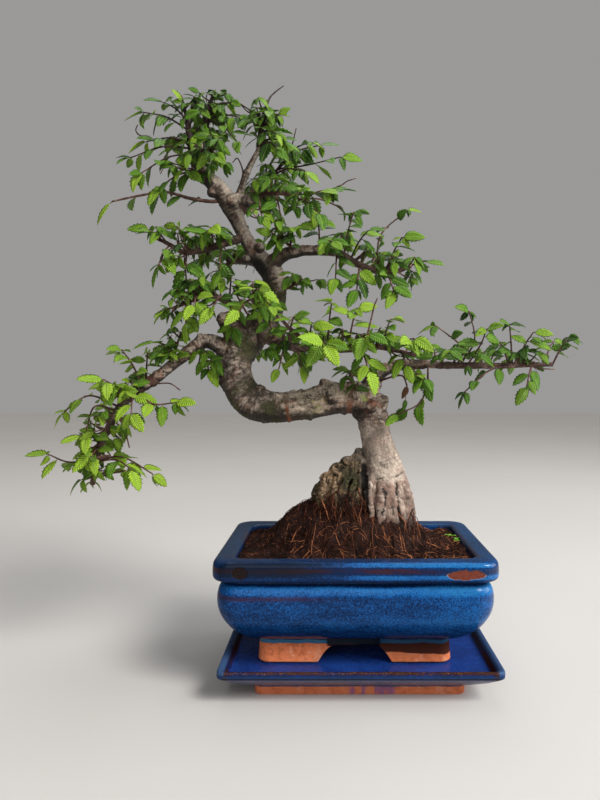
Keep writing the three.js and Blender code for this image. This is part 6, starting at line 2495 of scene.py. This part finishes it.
@dataclass
class LeafyStem:
    """One stem with its shoots, buds and leaves."""

    stem: Stem
    rows: int = 13
    blade_start: float = 0.1
    tooth: float = 0.11
    thickness: float = 0.11
    slim: float = 0.78
    bud_pitch: float = 5.2

    def blade(self) -> tuple[Array, Array, Array]:
        """The places of one leaf's points on its blade.

        The half width is the distance from the stalk to the power 0.55, times the distance from
        the tip to the power 0.95, made 1 at its widest. Every second row is drawn in and back,
        so that the edge has forward teeth.

        Returns:
            Along the rib, across it, and lift off the face for each point, upper side first.
        """
        share = np.linspace(0.0, 1.0, self.rows)
        width = (share + 0.004) ** 0.55 * (1.004 - share) ** 0.95
        width = width / width.max()
        notch = np.arange(self.rows) % 2
        width = width * (1 - 2 * self.tooth * notch)
        u = self.blade_start + (1 - self.blade_start) * share
        edge_u = u + 0.028 * (1 - notch) * (width > 0.2)
        upper, lower = np.array([-1.0, -0.5, 0.0, 0.5, 1.0]), np.array([-0.5, 0.0, 0.5])
        on_edge = np.abs(upper) == 1
        v_up, v_low = width[:, None] * upper, width[:, None] * lower
        u_up = np.where(on_edge, edge_u[:, None], u[:, None])
        u_low = np.broadcast_to(u[:, None], v_low.shape)
        lift_up = np.broadcast_to(np.where(on_edge, 0.0, self.thickness), v_up.shape)
        lift_low = np.full(v_low.shape, -self.thickness)
        pairs = ((u_up, u_low), (v_up, v_low), (lift_up, lift_low))
        u, v, lift = (np.concatenate([a.ravel(), b.ravel()]) for a, b in pairs)
        return u, v, lift

    def blade_faces(self) -> list[Array]:
        """Faces of one leaf: the upper side, and the lower side that shares the upper's edges.

        Returns:
            Point numbers of the fours on both sides, and of the threes and fours at the ends.
        """
        low = self.rows * 5
        line = np.arange(self.rows)[:, None]
        first = line[:-1] * 5 + np.arange(4)
        upper = np.stack([first, first + 5, first + 6, first + 1], axis=-1)
        ring = np.hstack([line * 5, low + line * 3 + np.arange(3), line * 5 + 4])
        lower = np.stack([ring[:-1, :-1], ring[:-1, 1:], ring[1:, 1:], ring[1:, :-1]], axis=-1)
        top, under = low - 5, low + (self.rows - 1) * 3
        threes = [(0, 1, low), (3, 4, low + 2)]
        threes += [(top, under, top + 1), (under + 2, top + 4, top + 3)]
        fours = [(1, 2, low + 1, low), (2, 3, low + 2, low + 1)]
        fours += [(under + k, under + k + 1, top + k + 2, top + k + 1) for k in (0, 1)]
        sides = np.concatenate([upper.reshape(-1, 4), lower.reshape(-1, 4)])
        return [sides, np.array(threes), np.array(fours)]

    def add_leaves(
        self, skin: Skin, leaves: Sequence[Leaf], random: np.random.Generator
    ) -> None:
        """Adds the blades and stalks of the stem's leaves.

        Args:
            skin: the mesh to add to.
            leaves: the leaves placed on this stem.
            random: the source of random numbers.
        """
        u, v, lift = self.blade()
        faces = self.blade_faces()
        for leaf in leaves:
            pose = leaf.pose
            rib, flat, face = self.hung(pose)
            curl = random.uniform(-0.5, 0.9)
            wave = random.uniform(0.01, 0.05) * pose.reach
            phase = random.uniform(0, 2 * np.pi)
            height = FOLD * np.abs(v) * pose.half - pose.arch * u * u + lift
            height = height - curl * 0.22 * pose.half * v * v
            height = height + wave * np.abs(v) ** 1.5 * np.sin(5.5 * u + phase + 1.3 * np.sign(v))
            bend = random.uniform(-0.12, 0.12) * pose.reach * u * u
            points = pose.base + rib * (u * pose.reach)[:, None]
            points = points + flat * (v * pose.half + bend)[:, None] + face * height[:, None]
            tone = self.tone(leaf, random.normal(0.38, 0.2)) + np.where(lift < 0, 0.12, 0.0)
            chart = {"u": u, "v": 0.5 + 0.5 * v}
            skin.add(points, faces, leaf.finish, **chart, tone=tone, along=0.0, youth=1.0)
            start = pose.base + rib * (self.blade_start + 0.02) * pose.reach
            start = start - face * pose.arch * 0.012
            middle = (leaf.root + start) / 2
            stalk = np.array([(*leaf.root, 0.45), (*middle, 0.33), (*start, 0.26)])
            rings = tube_rings(stalk, 4, np.array([0.0, 1.0, 2.0]))
            skin.add_tube(rings, 0, u=0.5, v=0.5, tone=0.6, along=0.0, youth=1.0)

    @staticmethod
    def tone(leaf: Leaf, usual: float) -> float:
        """How pale a leaf is: more so at a tip; paler low on the left and near the camera and
        darker on the right, which is painted light and shade.

        Args:
            leaf: the leaf.
            usual: its tone in the middle of the tree.

        Returns:
            The tone, from 0 for an old leaf to 1 for a young one, with the painted light and shade
            in it.
        """
        x, y, z = leaf.pose.base
        fresh = {0: 0.28, 1: 0.12}.get(leaf.from_tip, 0.0)
        # Painted light and shade: paler low on the left and near the camera, darker on the right
        left_low = 0.36 * climb(x, -100, -60) * climb(z, 300, -60)
        nearer = 0.2 * climb(y, -20, -20) * climb(z, 310, -30)
        right = 0.1 * climb(x, 50, 40)
        return np.clip(usual - right + fresh + max(left_low, nearer), 0.0, 1)

    @staticmethod
    def hung(pose: Pose) -> tuple[Array, Array, Array]:
        """A leaf's directions once its weight has turned it down: none points far above level.

        Args:
            pose: how the leaf grew.

        Returns:
            Along its rib, across it and off its face.
        """
        rib = unit(np.array([*pose.rib[:2], min(pose.rib[2], 0.08)]))
        face = unit(pose.face - rib * pose.face.dot(rib))
        return rib, np.cross(rib, face), face

    def add_twig(self, skin: Skin, twig: Twig) -> None:
        """Adds one twig, swollen at its buds.

        Args:
            skin: the mesh to add to.
            twig: the twig.
        """
        spans = len(twig.path) - 1
        positions = np.linspace(0, spans, spans * detail(7, 3) + 1)
        path = twig.path.copy()
        path[:, 3] *= SLIM_STEMS.get(twig.stem, self.slim) if path[0, 3] > 2 else self.slim
        if twig.stem in BARE_TIPS and not twig.is_shoot:
            path[:, 3] *= np.interp(np.arange(spans + 1) / spans, (0.3, 0.6), (1.0, 0.6))
        centre = spline(path, positions)
        step = np.linalg.norm(np.diff(centre[:, :3], axis=0), axis=1)
        along = np.concatenate([[0.0], step.cumsum()])
        wave = np.sin(along / self.bud_pitch * 2 * np.pi)
        bud = 1 + 0.16 * np.clip(wave - 0.55, 0, 1) / 0.45
        sides = 6 if twig.is_shoot else 12
        angle = np.arange(sides) / sides * 2 * np.pi
        lumps = 1 + 0.04 * np.sin(3 * angle + positions[:, None] * 3)
        rings = tube_rings(path, sides, positions, bud[:, None] * lumps)
        youth = climb(centre[:, 3], 3.2, -2.2)
        skin.add_tube(rings, 0, u=0.5, v=0.5, tone=0.5, along=along * MM, youth=youth)

    def build(
        self, foliage: Foliage, finishes: Sequence[Material], slot: Slot, seed: int
    ) -> Object:
        """Builds the stem.

        Args:
            foliage: the tree's twigs and leaves.
            finishes: twig bark and leaf.
            slot: the record's finish meant for it, passed to place, which does not use it.
            seed: the start of its random numbers.

        Returns:
            The piece.
        """
        skin = Skin()
        for twig in foliage.twigs:
            if twig.stem == self.stem.name:
                self.add_twig(skin, twig)
        leaves = [leaf for leaf in foliage.leaves if leaf.owner == self.stem.name]
        self.add_leaves(skin, leaves, np.random.default_rng(seed))
        name = "leafy_" + self.stem.name
        return place(name, skin.mesh(name), finishes, slot, [self.stem.name])


# Studio


# Lamps: name, kind, place in metres, width in metres or radians, strength and colour
LAMPS: tuple[tuple[str, str, Point, float, float, Colour], ...] = (
    ("daylight", "SUN", (0.95, -0.85, 1.3), 0.45, 2.7, (1.0, 0.98, 0.95)),
    ("window_light", "AREA", (0.95, -0.85, 1.25), 0.4, 12.0, (1.0, 0.98, 0.95)),
    ("side_window", "AREA", (1.5, -0.1, 0.8), 1.1, 17.0, (0.97, 0.99, 1.0)),
    ("front_fill", "AREA", (-0.4, -1.8, 0.95), 1.4, 12.0, (0.97, 0.98, 1.0)),
    ("sky_light", "AREA", (0.0, 0.4, 1.7), 1.2, 11.0, (0.95, 0.98, 1.0)),
)


@dataclass(frozen=True)
class Studio:
    """Camera at the photo's place, soft daylight from the upper right, and a pale floor."""

    lens: float = 27.675
    shift: tuple[float, float] = (-33 / 800, -17 / 800)
    aim: Point = (-0.03, 0.0, 0.2)
    wall: Colour = (0.36, 0.355, 0.35)
    floor_half: float = 4000.0
    floor_tints: tuple[Colour, Colour] = ((0.5, 0.48, 0.46), (0.55, 0.53, 0.51))

    def add_camera(self) -> None:
        """Adds the camera: level, looking along +Y, with its frame shifted left and down."""
        data = bpy.data.cameras.new("camera")
        data.lens = self.lens
        data.sensor_width = 36.0
        data.sensor_fit = "AUTO"
        data.shift_x, data.shift_y = self.shift
        data.clip_start = 0.01
        camera = show("camera", data)
        camera.location = tuple(c * MM for c in EYE)
        camera.rotation_euler = (math.pi / 2, 0.0, 0.0)
        bpy.context.scene.camera = camera

    def add_light(self) -> None:
        """Adds the lamps, and a world that shows a mid-grey wall but lights the tree less."""
        for name, kind, spot, size, power, colour in LAMPS:
            data = bpy.data.lights.new(name, kind)
            setattr(data, "angle" if kind == "SUN" else "size", size)
            data.energy = power
            data.color = colour
            lamp = show(name, data)
            lamp.location = spot
            away = Vector(self.aim) - Vector(spot)
            lamp.rotation_euler = away.to_track_quat("-Z", "Y").to_euler()
        world = bpy.data.worlds.new("studio")
        world.use_nodes = True
        backdrop = world.node_tree.nodes["Background"].inputs
        backdrop["Color"].default_value = (*self.wall, 1.0)
        graph = Graph(world.node_tree)
        seen = graph.get("LightPath", output="Is Camera Ray")
        graph.join(seen.remap(0.0, 1.0, 0.26, 0.9), backdrop["Strength"])
        bpy.context.scene.world = world

    def add_floor(self) -> None:
        """Adds a wide pale floor under the tray."""
        skin = Skin()
        corners = np.array([(-1, -1, 0), (1, -1, 0), (1, 1, 0), (-1, 1, 0)]) * self.floor_half
        skin.add(corners, [np.array([[0, 1, 2, 3]])])
        data = skin.mesh("studio_floor")
        material, graph, place_on_floor = new_material("studio_floor")
        colour = graph.mix(place_on_floor.noise(3.0, 2.0), *self.floor_tints)
        graph.shade({"Base Color": colour, "Roughness": 0.6})
        data.materials.append(material)
        floor = show("studio_floor", data)


def dress_drain_meshes(finish: Material) -> None:
    """Gives the two moulded drain meshes their plastic; their shape is already right."""
    for name in ("drain_mesh_left", "drain_mesh_right"):
        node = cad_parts[name]
        if node.material_slots:
            for holder in node.material_slots:
                holder.material = finish
        else:
            node.data.materials.append(finish)


GROUND = FibreFinish(
    "coir_ground", (0.004, 0.002, 0.001), (0.012, 0.0045, 0.003), (0.032, 0.011, 0.007), False
)
FIBRE = FibreFinish(
    "coir_strands", (0.006, 0.0025, 0.002), (0.055, 0.015, 0.008), (0.56, 0.21, 0.09), True
)
SEEDLING = FibreFinish(
    "seedling_green", (0.04, 0.13, 0.012), (0.16, 0.42, 0.03), (0.42, 0.66, 0.12), True
)
WITHERED = LeafFinish(
    "withered_elm_leaf", (0.06, 0.022, 0.012), (0.13, 0.05, 0.025), (0.24, 0.11, 0.05),
    (0.2, 0.1, 0.05), roughness=0.65, glow=0.05,
)


def main() -> None:
    """Builds the camera, the light, the pot, the soil, the wood and every leafy stem."""
    logging.basicConfig(level=logging.INFO, format="%(name)s: %(message)s")
    studio = Studio()
    studio.add_camera()
    studio.add_light()
    studio.add_floor()
    groups = Groups()
    DripTray().build(TrayGlaze().material(groups))
    GlazedPot().build(PotGlaze().material(groups))
    dress_drain_meshes(PlasticFinish().material())
    SoilHeap().build([finish.material() for finish in (GROUND, FIBRE, SEEDLING)])
    ElmTree().build(BarkFinish().material(groups))
    foliage = Foliage()
    foliage.grow()
    twig_bark = TwigFinish().material(groups)
    green = LeafFinish().material(groups)
    brown = WITHERED.material(groups)
    for number, stem in enumerate(STEMS):
        withered = stem.name == "stem_withered"
        blades, slot = ([brown, green], Slot.WITHERED) if withered else ([green], Slot.LEAF)
        LeafyStem(stem).build(foliage, [twig_bark, *blades], slot, 500 + number)
    bpy.context.scene.view_settings.view_transform = "Standard"


if __name__ == "__main__":
    main()
